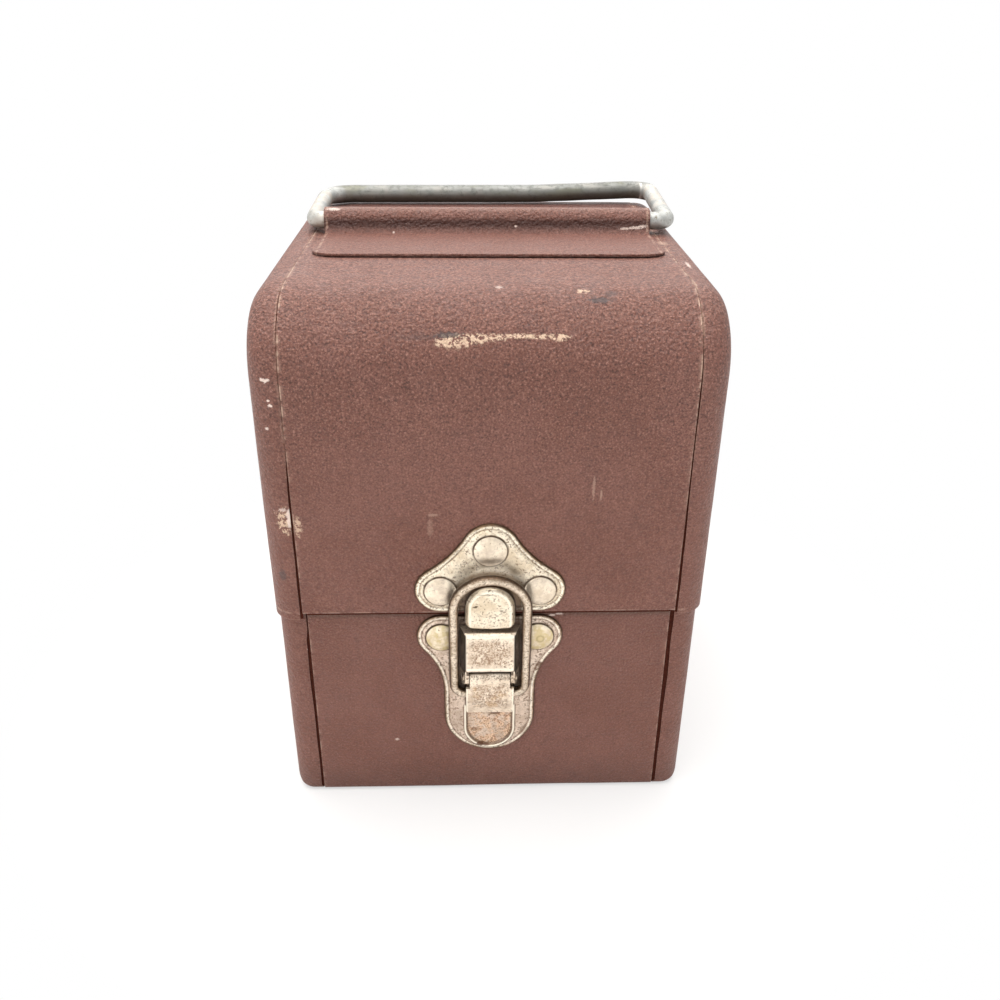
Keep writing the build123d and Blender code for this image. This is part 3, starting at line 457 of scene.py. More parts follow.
LID_STAINS = [
    ((-13.0, -94.2, 200.5), (5.4, 2.4, 2.2), TAN, 1.0),
    ((-6.0, -94.0, 201.2), (4.6, 2.0, 1.6), TAN, 1.0),
    ((0.5, -94.0, 201.6), (4.0, 1.6, 1.2), TAN, 0.95),
    ((9.0, -93.8, 202.0), (6.0, 1.0, 0.8), TAN, 0.95),
    ((17.0, -93.8, 201.9), (4.4, 0.9, 0.8), TAN, 0.90),
    ((23.0, -93.9, 201.6), (3.2, 1.3, 1.1), TAN, 0.95),
    ((-14.5, -93.6, 202.4), (5.0, 1.2, 1.0), SMUDGE, 0.80),
    ((-24.0, -93.8, 201.6), (8.0, 1.0, 0.9), SMUDGE, 0.30),
    ((31.9, -78.5, 213.1), (1.9, 1.5, 1.2), TAN, 0.90),
    ((37.3, -83.1, 211.2), (4.0, 1.5, 1.3), SMUDGE, 0.75),
    ((41.0, -80.0, 212.4), (2.4, 1.2, 1.1), SMUDGE, 0.50),
    ((3.0, -76.0, 213.6), (1.2, 1.0, 0.9), CHIP, 0.45),
    ((-77.2, -96.4, 188.0), (0.7, 2.5, 0.55), CHIP, 1.0),
    ((-76.0, -96.6, 187.7), (0.8, 2.5, 0.75), CHIP, 1.0),
    ((-75.1, -96.8, 188.1), (0.7, 2.5, 0.5), CHIP, 1.0),
    ((-75.6, -96.8, 180.6), (0.5, 2.0, 0.45), CHIP, 1.0),
    ((-75.1, -96.8, 178.8), (0.75, 2.0, 0.7), CHIP, 1.0),
    ((-77.2, -96.6, 170.2), (0.6, 2.5, 0.5), CHIP, 0.95),
    ((-74.4, -97.2, 133.8), (2.9, 1.8, 4.4), TAN, 0.95),
    ((-72.7, -97.6, 135.4), (0.85, 1.6, 3.6), CHIP, 0.90),
    ((-74.6, -97.2, 138.6), (1.5, 1.6, 0.7), CHIP, 0.60),
    ((-69.7, -98.0, 131.8), (1.2, 1.2, 4.2), TAN, 0.75),
    ((-77.2, -96.5, 110.4), (1.9, 2.5, 2.2), SMUDGE, 0.60),
    ((37.0, -98.0, 147.0), (0.5, 1.0, 4.5), WORN, 0.45),
    ((39.8, -98.0, 144.0), (0.4, 1.0, 2.2), WORN, 0.55),
    ((-20.9, -98.0, 136.2), (1.8, 1.0, 0.6), WORN, 0.45),
    ((-22.0, -98.0, 131.0), (1.0, 1.0, 3.4), WORN, 0.22),
    ((75.0, -46.0, 213.6), (0.7, 4.2, 1.2), CHIP, 0.65),
    ((71.8, -72.0, 213.9), (0.5, 6.0, 1.2), WORN, 0.60),
    ((71.6, -90.0, 206.0), (0.5, 4.0, 7.0), WORN, 0.50),
    ((71.6, -12.0, 214.2), (2.2, 3.0, 0.6), WORN, 0.50),
    ((78.2, -95.0, 176.0), (0.4, 2.0, 1.0), WORN, 0.60),
]
BASE_STAINS = [
    ((-38.4, -95.2, 28.1), (0.8, 1.0, 0.6), CHIP, 0.65),
    ((24.2, -95.2, 89.9), (1.2, 1.2, 0.5), CHIP, 0.70),
    ((27.0, -95.2, 90.5), (1.3, 1.2, 0.4), CHIP, 0.60),
    ((-71.2, -95.2, 74.5), (0.6, 1.6, 0.6), CHIP, 0.55),
    ((20.0, -95.2, 60.0), (16.0, 1.0, 9.0), BROWN_PALE, 0.25),
]


def cut_edge_material():
    """Edge of the sheet: paler, in thin layers."""
    g = Graph("fibre_cut")
    layers = g.noise(0.5, 2.0, 0.6, stretch=(1, 1, 3))
    g.color = g.mix(g.span(layers, 0.35, 0.65), (0.26, 0.125, 0.090), (0.40, 0.24, 0.18))
    g.lay(g.span(g.noise(6, 2.0), 0.4, 0.7) * 0.4, (0.12, 0.055, 0.042))
    return g.finish(g.span(layers, 0.3, 0.7, 0.5, 0.65), g.bump(layers, 0.05), specular=0.3)


def inside_material():
    """Inside of the fibre: cleaner and duller than the outside."""
    g = Graph("fibre_inside")
    grain, patch = fibre_color(g)
    g.lay(0.35, (0.150, 0.060, 0.045))
    # Darker in its corners and hollows.
    g.lay(g.hollows(6.0) * 0.5, (0.05, 0.025, 0.02))
    return g.finish(g.span(patch, 0.3, 0.7, 0.5, 0.62), fibre_bump(g, grain), specular=0.35)


def strip_material():
    """The strip: as the lid, with painted shade under the fold and along its front edge, and rubbed
    specks on its crest.
    """
    g = Graph("fibre_strip")
    grain, patch = fibre_color(g, 0.55)
    crest = g.span(g.z + grain * 1.4, TOP + 9.6, TOP + 10.6)
    g.lay(crest * 0.1, WORN)
    # Painted shade in the undercut of the fold and in the hollow in front of it.
    crease_shade = g.band(g.z, ROD_Z - 2.2, ROD_Z + 1.4, 1.2) * g.span(g.y, ROD_Y, ROD_Y - 2)
    g.lay(crease_shade * 0.7, (0.04, 0.013, 0.01))
    hollow = g.span(g.z, ROD_Z + 1.0, TOP + STRIP_SHEET) * g.span(g.y, ROD_Y - 9.5, ROD_Y - 6.5)
    g.lay(hollow * 0.35, (0.07, 0.028, 0.021))
    # Painted shadow on the flange's front edge.
    ahead = g.span(g.y, STRIP_FRONT + 8, STRIP_FRONT + 5)
    foot = ahead * g.span(g.z, TOP + 0.75, TOP + 0.5)
    g.lay(foot * 0.85, STRIP_EDGE_SHADOW)
    side = g.band(abs(g.x - STRIP_X), STRIP_HALF - 1.1, STRIP_HALF - 0.2, 0.15)
    side = side * g.span(g.noise(3, 3.0, 0.7), 0.4, 0.58)
    g.lay(side * 0.55, WORN)
    worn = g.span(g.edges(0.7) + grain * 0.12, 0.12, 0.4)
    g.lay(worn * 0.3, WORN)
    add_stains(g, STRIP_STAINS)
    return g.finish(g.span(patch, 0.3, 0.7, 0.44, 0.56), fibre_bump(g, grain), specular=0.5)


STRIP_STAINS = [
    ((-62.6, 4.0, 224.1), (2.6, 1.0, 0.6), CHIP, 0.80),
    ((58.0, 1.4, 217.2), (2.6, 1.6, 0.5), CHIP, 0.75),
    ((62.5, 1.4, 217.6), (3.0, 1.6, 0.6), CHIP, 0.80),
    ((65.5, 1.4, 218.2), (1.6, 1.6, 0.6), CHIP, 0.70),
    ((12.3, 1.0, 218.0), (0.5, 1.0, 0.45), CHIP, 0.80),
    ((-38.0, -1.5, 216.0), (0.5, 0.8, 0.45), CHIP, 0.75),
]


def metal_material(
    name, pale, dark, rust, paint, roughness=0.30, spots=0.62, speck=0.9, metallic=0.85
):
    """Worn plating: cloudy, pitted, with brown rust specks and dirt in its hollows."""
    g = Graph(name)
    cloud = g.noise(6, 3.0, 0.6)
    fine = g.fine = g.noise(0.6, 3.0, 0.7, shift=(3, 1, 8))
    g.color = g.mix(g.span(cloud, 0.32, 0.66), dark, pale)
    g.lay(g.span(fine, 0.47, 0.3) * 0.35, tuple(c * 0.5 for c in dark))
    specks = g.noise(speck, 4.0, 0.75, shift=(5, 5, 5))
    rusty = g.span(specks + cloud * 0.14, spots, spots + 0.05)
    g.lay(rusty * 0.8, rust)
    grubby = g.span(g.hollows(1.8) + fine * 0.2, 0.28, 0.65)
    g.lay(grubby * 0.6, DEEP)
    paint(g)
    rough = g.span(cloud, 0.3, 0.7, roughness, roughness + 0.14) + rusty * 0.3
    shine = g.span(g.math("MAXIMUM", rusty, grubby), 0.0, 1.0, metallic, 0.1)
    normal = g.bump(fine - rusty * 0.6, 0.06, g.bump(cloud, 0.12))
    return g.finish(rough, normal, metallic=shine)


def border(g):
    """Tan edge, bright crest and dark groove of a pressed plate, by distance in from its edge."""
    flat = g.span(g.y, *PLATE_TOP)
    inset = g.attribute("inset")
    broken = g.span(g.noise(3.5, 3.0, 0.7, shift=(6, 2, 9)), 0.30, 0.62, 0.35, 1.0)
    outer = g.span(inset, 0.95, 0.55) * flat * broken
    g.lay(outer * 0.85, (0.24, 0.15, 0.078))
    rim = g.span(inset, 0.62, 0.25) * flat
    g.lay(rim * 0.92, (0.06, 0.033, 0.017))
    crest = g.band(inset, 1.0, 1.55, 0.2) * flat
    g.lay(crest * 0.75, (0.96, 0.9, 0.76))
    groove = g.band(inset, 1.8, 2.2, 0.25) * broken * flat
    g.lay(groove * 0.72, (0.13, 0.073, 0.038))
    crumbs = g.span(g.noise(1.1, 4.0, 0.8, shift=(9, 4, 1)), 0.535, 0.575) * flat
    near = crumbs * g.span(inset, 4.5, 1.5, 0.1, 1.0)
    g.lay(near * 0.72, (0.1, 0.052, 0.027))


def rings_of_dirt(g, centres):
    """Dark outlines round the rivets that stand at centres, (x, z, radius)."""
    broken = g.span(g.noise(4.0, 3.0, 0.7, shift=(2, 2, 9)), 0.32, 0.58, 0.50, 0.95)
    for x, z, radius in centres:
        ring = g.band(g.from_axis(x, z), radius - 0.4, radius + 0.50, 0.30)
        g.lay(ring * broken, OUTLINE)


def strike_dirt_shade_and_highlight(g):
    border(g)
    rings_of_dirt(g, STRIKE_RIVETS)
    on_plate = g.span(g.y, -101.5, -101.0)
    # Painted shadow of the loop's arch on the plate, just above it.
    away = g.from_axis(0, LOOP_CROWN[1] - LOOP_HALF - 3.0)
    halo = g.span(away, 18.6, 15.9) * g.span(g.z, 101.5, 107) * on_plate
    g.lay(halo * 0.85, (0.115, 0.066, 0.032))
    # Painted shade in the gap between the nose and the loop.
    rise = g.math("MAXIMUM", g.z - (NOSE_TOP - NOSE_CROWN), 0.0)
    beside = g.from_point(g.x, rise)
    channel = g.span(beside, 12.9, 11.6) * on_plate
    g.lay(channel * 0.9, (0.062, 0.031, 0.015))
    # Painted highlight along the inside of the nose's rounded edge.
    crest = g.band(beside, 7.3, 8.1, 0.2) * g.span(g.y, -102.2, -102.5)
    g.lay(crest * 0.55, (0.98, 0.94, 0.82))
    add_stains(g, NOSE_STAINS, ragged=0.9)


NOSE_BROWN = (0.1, 0.065, 0.038)
NOSE_STAINS = [
    ((-5.8, -102.7, 98.9), (0.9, 1.0, 0.4), NOSE_BROWN, 0.90),
    ((-5.2, -102.7, 99.3), (0.6, 1.0, 0.35), NOSE_BROWN, 0.90),
    ((4.3, -102.7, 97.2), (0.7, 1.0, 0.4), NOSE_BROWN, 0.60),
    ((5.2, -102.7, 96.5), (0.6, 1.0, 0.35), NOSE_BROWN, 0.50),
    ((-1.5, -102.7, 104.3), (3.6, 1.0, 0.3), NOSE_BROWN, 0.40),
    ((0.5, -102.7, 101.0), (0.5, 1.0, 0.3), NOSE_BROWN, 0.35),
]


def latch_plate_dirt_and_shade(g):
    border(g)
    rings_of_dirt(g, LATCH_RIVETS)
    side = abs(g.x)
    # Painted shade between the bracket and the loop's legs, and painted shadow along the legs' outer
    # edges.
    beside = g.band(side, 11.0, 12.7, 0.35) * g.band(g.z, 58, 90, 2.0)
    g.lay(beside * 0.8, DEEP)
    outer = g.band(side, 15.7, 16.3, 0.25) * g.band(g.z, 58, 88, 2.0)
    g.lay(outer * 0.6, OUTLINE)
    # Painted shade in the gap above the bracket.
    above = g.span(side, 12.0, 11.0) * g.span(g.z, 85.5, 87.0)
    g.lay(above * 0.8, DEEP)
    # A dark line on the plate along both sides of the lever.
    lever = g.band(side, 9.3, 10.1, 0.2) * g.band(g.z, 46.5, 61, 0.8)
    g.lay(lever * 0.7, OUTLINE)
    drop = g.math("MINIMUM", g.z - (RECESS_BOTTOM + RECESS_HALF), 0.0)
    from_rim = g.from_point(g.x, drop) - RECESS_HALF
    low = g.span(g.z, 47.5, 46.8)
    rim = g.band(from_rim, 0.12, 0.85, 0.12) * low
    outside = g.band(from_rim, 0.95, 1.35, 0.15) * low
    g.lay(outside * 0.55, OUTLINE)
    g.lay(rim * 0.9, (0.97, 0.92, 0.78))
    floor = g.span(from_rim, 0.0, -0.3) * g.span(g.y, -96.4, -96.2)
    orange = g.mix(g.span(g.fine, 0.38, 0.56), (0.27, 0.105, 0.045), (0.80, 0.58, 0.40))
    bare = g.span(g.noise(3.0, 3.0, 0.6, shift=(4, 4, 7)), 0.42, 0.58, 0.90, 0.15)
    g.lay(floor * bare, orange)
    inner = g.band(from_rim, -0.75, 0.02, 0.12) * low
    g.lay(inner * 0.6, OUTLINE)
    add_stains(g, LATCH_STAINS, ragged=0.8)


LATCH_BROWN = (0.13, 0.06, 0.032)
LATCH_STAINS = [
    # The first two are a painted shadow under the lever's tip; the rest are brown stains.
    ((1.0, -95.7, 43.6), (7.0, 1.0, 0.9), LATCH_BROWN, 0.85),
    ((2.2, -95.7, 42.2), (2.4, 1.0, 1.2), LATCH_BROWN, 0.85),
    ((-6.0, -95.7, 33.5), (1.6, 1.0, 1.0), LATCH_BROWN, 0.55),
    ((-3.8, -96.6, 26.3), (1.9, 1.6, 0.8), LATCH_BROWN, 0.92),
    ((-1.2, -96.6, 25.8), (1.2, 1.6, 0.5), LATCH_BROWN, 0.70),
    ((20.1, -96.6, 66.8), (1.7, 1.2, 1.5), LATCH_BROWN, 0.80),
    ((18.6, -96.6, 64.9), (0.9, 1.2, 0.9), LATCH_BROWN, 0.60),
    ((13.5, -96.6, 60.0), (2.4, 1.2, 3.0), LATCH_BROWN, 0.25),
    ((-13.0, -96.6, 40.0), (2.2, 1.2, 6.0), LATCH_BROWN, 0.22),
    ((14.5, -96.6, 33.0), (2.2, 1.2, 3.0), LATCH_BROWN, 0.30),
]


def lever_dirt_and_shade(g):
    """Pitted in the middle, rubbed pale at the edges, with painted shade in the gap between lever and
    bracket and on the bracket's sides.
    """
    side = abs(g.x)
    front = g.span(g.y, -102.2, -102.6)
    pits = g.noise(0.8, 4.0, 0.8, shift=(1, 2, 3))
    middle = g.span(side, 8.6, 6.0) * g.band(g.z, 71.5, 83.0, 1.2)
    lower = g.span(side, 8.2, 5.5) * g.band(g.z, 50.5, 62.0, 1.5)
    face = g.math("MAXIMUM", middle, lower)
    pitted = g.span(pits, 0.46, 0.56) * face
    g.lay(pitted * 0.75, (0.235, 0.125, 0.068))
    tinge = g.span(g.noise(5, 2.0), 0.4, 0.6) * lower
    g.lay(tinge * 0.45, (0.62, 0.4, 0.2))
    for low, high in ((84.6, 85.9), (46.8, 48.2), (69.2, 70.2)):
        g.lay(g.band(g.z, low, high, 0.25) * front * 0.75, RUBBED)
    rubbed = g.span(side, 8.5, 9.1) * g.band(g.z, 47, 60.5, 0.4)
    g.lay(rubbed * 0.7, RUBBED)
    rubbed = g.span(side, 8.9, 9.4) * g.band(g.z, 69, 85, 0.4)
    g.lay(rubbed * 0.7, RUBBED)
    # Painted shade in the gap between lever and bracket.
    gap = g.band(g.z, 66.7, 68.7, 0.15) * g.span(side, 9.4, 9.0)
    g.lay(gap * 0.85, DEEP)
    # Painted shade on the bracket's sides, which face sideways.
    flank = g.span(abs(g.facing[0]), 0.35, 0.65) * g.span(g.z, 66, 68)
    g.lay(flank * 0.92, (0.028, 0.013, 0.008))
    row = g.band(g.z, 64.2, 66.2, 0.5) * g.span(pits, 0.5, 0.56)
    g.lay(row * 0.8, OUTLINE)


def wire_highlight_and_shade(g):
    """Painted highlight along the front of the wire and painted shade along both sides, with brown
    crumbs.
    """
    # By the surface's facing, the front gets a painted highlight and the sides painted shade.
    front = g.facing[1] * -1.0 + (g.fine - 0.5) * 0.5
    bright = g.span(front, 0.88, 1.0)
    dark = g.span(front, 0.96, 0.74)
    g.lay(bright * 0.4, (0.9, 0.8, 0.66))
    g.lay(dark * 0.62, (0.22, 0.14, 0.08))
    g.lay(g.span(front, 0.8, 0.54) * 0.92, (0.045, 0.025, 0.014))
    crumbs = g.span(g.noise(0.9, 4.0, 0.8, shift=(2, 9, 4)), 0.53, 0.57)
    g.lay(crumbs * 0.65, (0.13, 0.072, 0.038))


def rivet_dirt_and_shade(g):
    """Pale at the rim, greyer smudges towards the middle of the lid's rivets, yellow below."""
    smudge = g.span(g.noise(5.0, 3.0, 0.6, shift=(8, 3, 3)), 0.42, 0.66)
    high = g.span(g.z, *LATCH_GAP)
    g.lay(smudge * (high * 0.36), (0.42, 0.33, 0.28))
    low = g.span(g.z, *LATCH_GAP[::-1])
    yellow = g.span(g.noise(3.5, 3.0, 0.6, shift=(1, 5, 2)), 0.35, 0.62, 0.10, 0.80)
    g.lay(low * yellow, (0.54, 0.43, 0.21))
    mark = g.band(g.from_axis(RIVET_X + 0.9, LATCH_RIVET_Z - 0.3), 1.0, 1.7, 0.25)
    g.lay(mark * 0.45, (0.28, 0.22, 0.09))
    # Painted shade where the head's surface turns away from the front.
    edge = g.span(g.facing[1], -0.93, -0.60)
    g.lay(edge * 0.75, OUTLINE)


def bail_stains_shade_and_highlights(g):
    """Its far bar is stained grey and green and painted darkest underneath as shade, with a painted
    highlight where each bend starts; the rest is pale and pinkish, and every underside gets painted
    shade.
    """
    stain = g.noise(7, 4.0, 0.6, shift=(2, 6, 1), stretch=(0.5, 1, 1))
    far = g.span(g.y, 62.0, 66.5)
    pink = g.span(g.noise(11, 2.0, 0.5, shift=(3, 3, 8)), 0.42, 0.62)
    g.lay(pink * 0.45, (0.62, 0.53, 0.44))
    g.lay(far * g.span(stain, 0.36, 0.6, 0.75, 1.0), (0.185, 0.19, 0.178))
    g.lay(far * (g.span(stain, 0.52, 0.66) * 0.45), (0.16, 0.155, 0.085))
    # Painted shade: the far bar darkens towards its underside.
    under = g.facing[2] + (stain - 0.5) * 0.8
    cloud = g.noise(3.0, 3.0, 0.7, shift=(5, 1, 7))
    g.lay(far * g.span(cloud, 0.5, 0.66, 0.0, 0.6), (0.1, 0.105, 0.095))
    g.lay(far * g.span(under, 0.75, 0.25, 0.0, 0.4), (0.12, 0.125, 0.108))
    dark = far * g.span(under, 0.2, -0.25)
    g.lay(dark * 0.5, (0.055, 0.058, 0.046))
    # Painted shade on every face turned downward.
    g.lay(g.span(g.facing[2], -0.2, -0.75) * 0.45, (0.12, 0.115, 0.09))
    # Painted highlights at the starts of the far bar's bends.
    left = g.band(g.x, -69.8, -68.9, 0.3)
    right = g.band(g.x, 74.2, 75.1, 0.3)
    ends = g.math("MAXIMUM", left, right) * far * g.span(g.facing[1], -0.1, -0.45)
    g.lay(ends * 0.85, (0.92, 0.9, 0.85))


def hinge_dirt(g):
    """Cloudy, with dirt round the rivets."""
    rings_of_dirt(g, HINGE_RIVETS)
    dull = g.span(g.noise(9.0, 3.0, 0.6, shift=(7, 7, 2)), 0.40, 0.62)
    g.lay(dull * 0.45, (0.33, 0.26, 0.19))


fibre_lid = fibre_material("fibre_lid", LID_SEAM, LID_STAINS, lid_wear_and_shade)
fibre_base = fibre_material("fibre_base", BASE_SEAM, BASE_STAINS, base_shade_and_foot)
fibre_strip = strip_material()
fibre_cut = cut_edge_material()
fibre_inside = inside_material()
fibre_groove_shade = groove_shade_material()
strike_metal = metal_material(
    "strike_metal", (0.88, 0.79, 0.64), (0.66, 0.55, 0.40), RUST, strike_dirt_shade_and_highlight, spots=0.63
)
plate_metal = metal_material(
    "plate_metal", (0.77, 0.64, 0.53), (0.54, 0.42, 0.33), RUST, latch_plate_dirt_and_shade, spots=0.615
)
pitted_metal = metal_material(
    "pitted_metal", (0.88, 0.77, 0.63), (0.64, 0.52, 0.40), RUST, lever_dirt_and_shade, 0.32, 0.64
)
rivet_metal = metal_material(
    "rivet_metal", (0.90, 0.80, 0.65), (0.62, 0.52, 0.40), (0.22, 0.14, 0.07), rivet_dirt_and_shade,
    0.28, 0.68,
)
wire_metal = metal_material(
    "wire_metal", (0.78, 0.68, 0.55), (0.50, 0.40, 0.30), (0.20, 0.12, 0.07), wire_highlight_and_shade,
    0.28, 0.62,
)
bail_metal = metal_material(
    "bail_metal", (0.50, 0.51, 0.49), (0.33, 0.34, 0.33), (0.20, 0.17, 0.11), bail_stains_shade_and_highlights,
    0.42, 0.65, speck=1.4, metallic=0.5,
)
hinge_metal = metal_material(
    "hinge_metal", (0.70, 0.63, 0.51), (0.46, 0.40, 0.31), (0.28, 0.18, 0.10), hinge_dirt,
    0.36, 0.65, speck=0.7,
)
FINISH = {
    "fibre": fibre_inside,
    "latch_steel": pitted_metal,
    "rivet_steel": rivet_metal,
    "wire_steel": wire_metal,
    "bail_steel": bail_metal,
    "hinge_steel": hinge_metal,
}


# Mesh helpers, all in mm

SHADE_SLOT = 3  # place of the painted groove shade among the materials of a fibre piece
PLATE_STEP = 0.8  # distance between the points of a plate's outline
NOSE_EDGE = 1.3  # radius of the nose's rounded edge


def spread(low, high, step):
    """Values from low to high, about step apart."""
    count = max(1, round(abs(high - low) / step))
    return [low + (high - low) * i / count for i in range(count + 1)]


def arc(centre, radius, start, end, step):
    """Points of an arc in two coordinates, from start to end in degrees."""
    return [
        (centre[0] + radius * math.cos(math.radians(a)), centre[1] + radius * math.sin(math.radians(a)))
        for a in spread(start, end, step)
    ]


def full_turn(count):
    """Angles all round, in radians."""
    return [2 * math.pi * k / count for k in range(count)]


def grid(rows, closed=False):
    """Points and faces over rows that all have the same number of points."""
    width = len(rows[0])
    faces = []
    for i in range(len(rows) - 1):
        for k in range(width if closed else width - 1):
            a, b = i * width + k, i * width + (k + 1) % width
            faces.append((a, b, b + width, a + width))
    return [tuple(p) for row in rows for p in row], faces


def new_mesh(name, points, faces):
    """A mesh from points in mm."""
    mesh = bpy.data.meshes.new(name)
    mesh.from_pydata([tuple(c * MM for c in p) for p in points], [], faces)
    return mesh


def put(name, points, faces, body, slot_name, replaced, materials=None, hold_open=False, shaded_faces=None):
    """A piece made from points and faces, which rides on body and stands for CAD nodes."""
    mesh = new_mesh(name, points, faces)
    # Faces picked by the row-and-column test get the painted groove shade.
    if shaded_faces:
        for polygon in mesh.polygons:
            polygon.material_index = SHADE_SLOT if tuple(polygon.vertices) in shaded_faces else 0
    form = bmesh.new()
    form.from_mesh(mesh)
    bmesh.ops.remove_doubles(form, verts=form.verts, dist=0.002 * MM)
    bmesh.ops.dissolve_degenerate(form, edges=form.edges, dist=0.001 * MM)
    if not hold_open:
        bmesh.ops.recalc_face_normals(form, faces=form.faces)
    middle = sum((v.co for v in form.verts), Vector()) / len(form.verts)
    outward = sum(f.calc_area() * f.normal.dot(f.calc_center_median() - middle) for f in form.faces)
    if outward < 0:
        bmesh.ops.reverse_faces(form, faces=form.faces)
    form.to_mesh(mesh)
    form.free()
    piece = link(name, mesh)
    for material in materials or [FINISH[slot_name]]:
        mesh.materials.append(material)
    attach(piece, body)
    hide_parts(*replaced)
    return piece


def ripple(piece, waves):
    """Push each point along its normal by soft noise; waves are (size, height)."""
    mesh = piece.data
    pushes = []
    for vertex in mesh.vertices:
        place = vertex.co / MM
        pushes.append(sum(height * noise.noise(place / size) for size, height in waves))
    normals = [vertex.normal.copy() for vertex in mesh.vertices]
    for vertex, normal, push in zip(mesh.vertices, normals, pushes):
        vertex.co += normal * push * MM


def bevel(piece, width, segments=2, angle=40):
    modifier = piece.modifiers.new("edge", "BEVEL")
    modifier.width = width * MM
    modifier.segments = segments
    modifier.limit_method = "ANGLE"
    modifier.angle_limit = math.radians(angle)


def settle(piece, angle=40):
    """Make the modifiers part of the mesh, smooth it and keep its sharp edges."""
    if piece.modifiers:
        graph = bpy.context.evaluated_depsgraph_get()
        mesh = bpy.data.meshes.new_from_object(piece.evaluated_get(graph))
        piece.modifiers.clear()
        piece.data = mesh
    piece.data.shade_smooth()
    piece.data.set_sharp_from_angle(angle=math.radians(angle))


def shell(name, rows, body, replaced, outside, skip=None, shaded=None, crisp=False):
    """A fibre piece: rows of points over its outside, thickened inwards, with a paler cut edge.

    skip tells by its centre which faces to leave out, and the row-and-column test which faces get the
    painted shade of the grooves. A crisp piece, whose grooves are too fine for it, has no rounded edge.
    """
    points, faces = grid(rows)
    width = len(rows[0]) - 1
    shaded_faces = {tuple(f) for i, f in enumerate(faces) if shaded and shaded(i // width, i % width)}
    if skip:
        faces = [f for f in faces if not skip([sum(points[i][a] for i in f) / 4 for a in range(3)])]
    materials = [outside, fibre_inside, fibre_cut, fibre_groove_shade, fibre_inside]
    piece = put(name, points, faces, body, "fibre", replaced, materials, hold_open=True, shaded_faces=shaded_faces)
    ripple(piece, FIBRE_WAVES)
    solid = piece.modifiers.new("sheet", "SOLIDIFY")
    solid.thickness = SHEET * MM
    solid.offset = -1
    solid.use_even_offset = not crisp
    solid.material_offset = 1
    solid.material_offset_rim = 2
    if not crisp:
        bevel(piece, 0.22)
    settle(piece)
    return piece


def round_corners(corners, radii, closed=False, step=7.5):
    """Path of points through corners, each turned with a bend of its own radius."""
    path = []
    for i, (corner, radius) in enumerate(zip(corners, radii)):
        corner = Vector(corner)
        if not closed and i in (0, len(corners) - 1):
            path.append(corner)
            continue
        back = (Vector(corners[i - 1]) - corner).normalized()
        ahead = (Vector(corners[(i + 1) % len(corners)]) - corner).normalized()
        half = back.angle(ahead) / 2
        centre = corner + (back + ahead).normalized() * radius / math.sin(half)
        start = corner + back * radius / math.tan(half) - centre
        end = corner + ahead * radius / math.tan(half) - centre
        turn = start.angle(end)
        count = max(2, round(math.degrees(turn) / step))
        for k in range(count + 1):
            path.append(centre + Matrix.Rotation(turn * k / count, 3, start.cross(end)) @ start)
    return path


def subdivide(path, step, closed=False):
    """The same path with points at most step apart on its straight runs."""
    dense = []
    count = len(path)
    for i in range(count if closed else count - 1):
        a, b = path[i], path[(i + 1) % count]
        parts = max(1, round((b - a).length / step))
        dense += [a.lerp(b, k / parts) for k in range(parts)]
    return dense if closed else dense + [path[-1]]


def rod(path, radius, up, sides=32, closed=False, nose=0.0):
    """Rows of points round a path; nose is the chamfer at the ends of an open rod."""
    rows = []
    count = len(path)
    radius_at = radius if callable(radius) else lambda place: radius
    for i, place in enumerate(path):
        thick = radius_at(place)
        before = path[i - 1] if closed or i else path[i]
        after = path[(i + 1) % count] if closed or i < count - 1 else path[i]
        tangent = (after - before).normalized()
        side = tangent.cross(up).normalized()
        over = side.cross(tangent)
        ring = [math.cos(angle) * side + math.sin(angle) * over for angle in full_turn(sides)]
        if not closed and i in (0, count - 1):
            outward = tangent * (-1 if i == 0 else 1)
            chamfer = [place + (thick - nose) * r for r in ring]
            ends = [[place] * sides, chamfer, [place - outward * nose + thick * r for r in ring]]
            rows += ends if i == 0 else ends[::-1]
        else:
            rows.append([place + thick * r for r in ring])
    if closed:
        rows.append(rows[0])
    return rows


# Lid and base


def lid_outline(inset, low, step=3.0):
    """The lid seen from the side, from its front foot over the top to its back foot, as (y, z)."""
    radius = LID_BEND - inset
    bend_z = TOP - LID_BEND
    rise = [low] if low < LID_EDGE else []
    rise += spread(LID_EDGE, bend_z, step)
    front = [(FRONT + inset, z) for z in rise]
    over = arc((FRONT + LID_BEND, bend_z), radius, 180, 90, 6)
    along = [(y, TOP - inset) for y in spread(FRONT + LID_BEND, BACK - LID_BEND, step)]
    down = arc((BACK - LID_BEND, bend_z), radius, 90, 0, 6)
    back = [(BACK - inset, z) for z in rise[::-1]]
    return front + over[1:] + along[1:] + down[1:] + back[1:]


def base_outline(inset, step=3.0):
    """The base from the side, from its front rim under the floor to its back rim, as (y, z)."""
    radius = max(BASE_BEND - inset, 0.4)
    foot = inset + radius
    heights = spread(COLLAR_TOP, BASE_LINE[0], step) + spread(BASE_LINE[1], BASE_BEND + 9.0, step)
    front = [(BASE_FRONT + inset, z) for z in heights] + [(BASE_FRONT + inset, foot)]
    under = arc((BASE_FRONT + inset + radius, foot), radius, 180, 270, 18)
    along = [
        (y, inset) for y in spread(BASE_FRONT + BASE_BEND + 9.0, BASE_BACK - BASE_BEND - 9.0, step)
    ]
    up = arc((BASE_BACK - inset - radius, foot), radius, 270, 360, 18)
    back = [(BASE_BACK - inset, z) for z in heights[::-1]]
    return front + under[1:] + along + up + back


def stations(half, edge=1.0, step=3.0):
    """Values of x across a wrap, closer at its edges."""
    inner = spread(-half + edge, half - edge, step)
    return [-half, -half + edge / 2] + inner + [half - edge / 2, half]


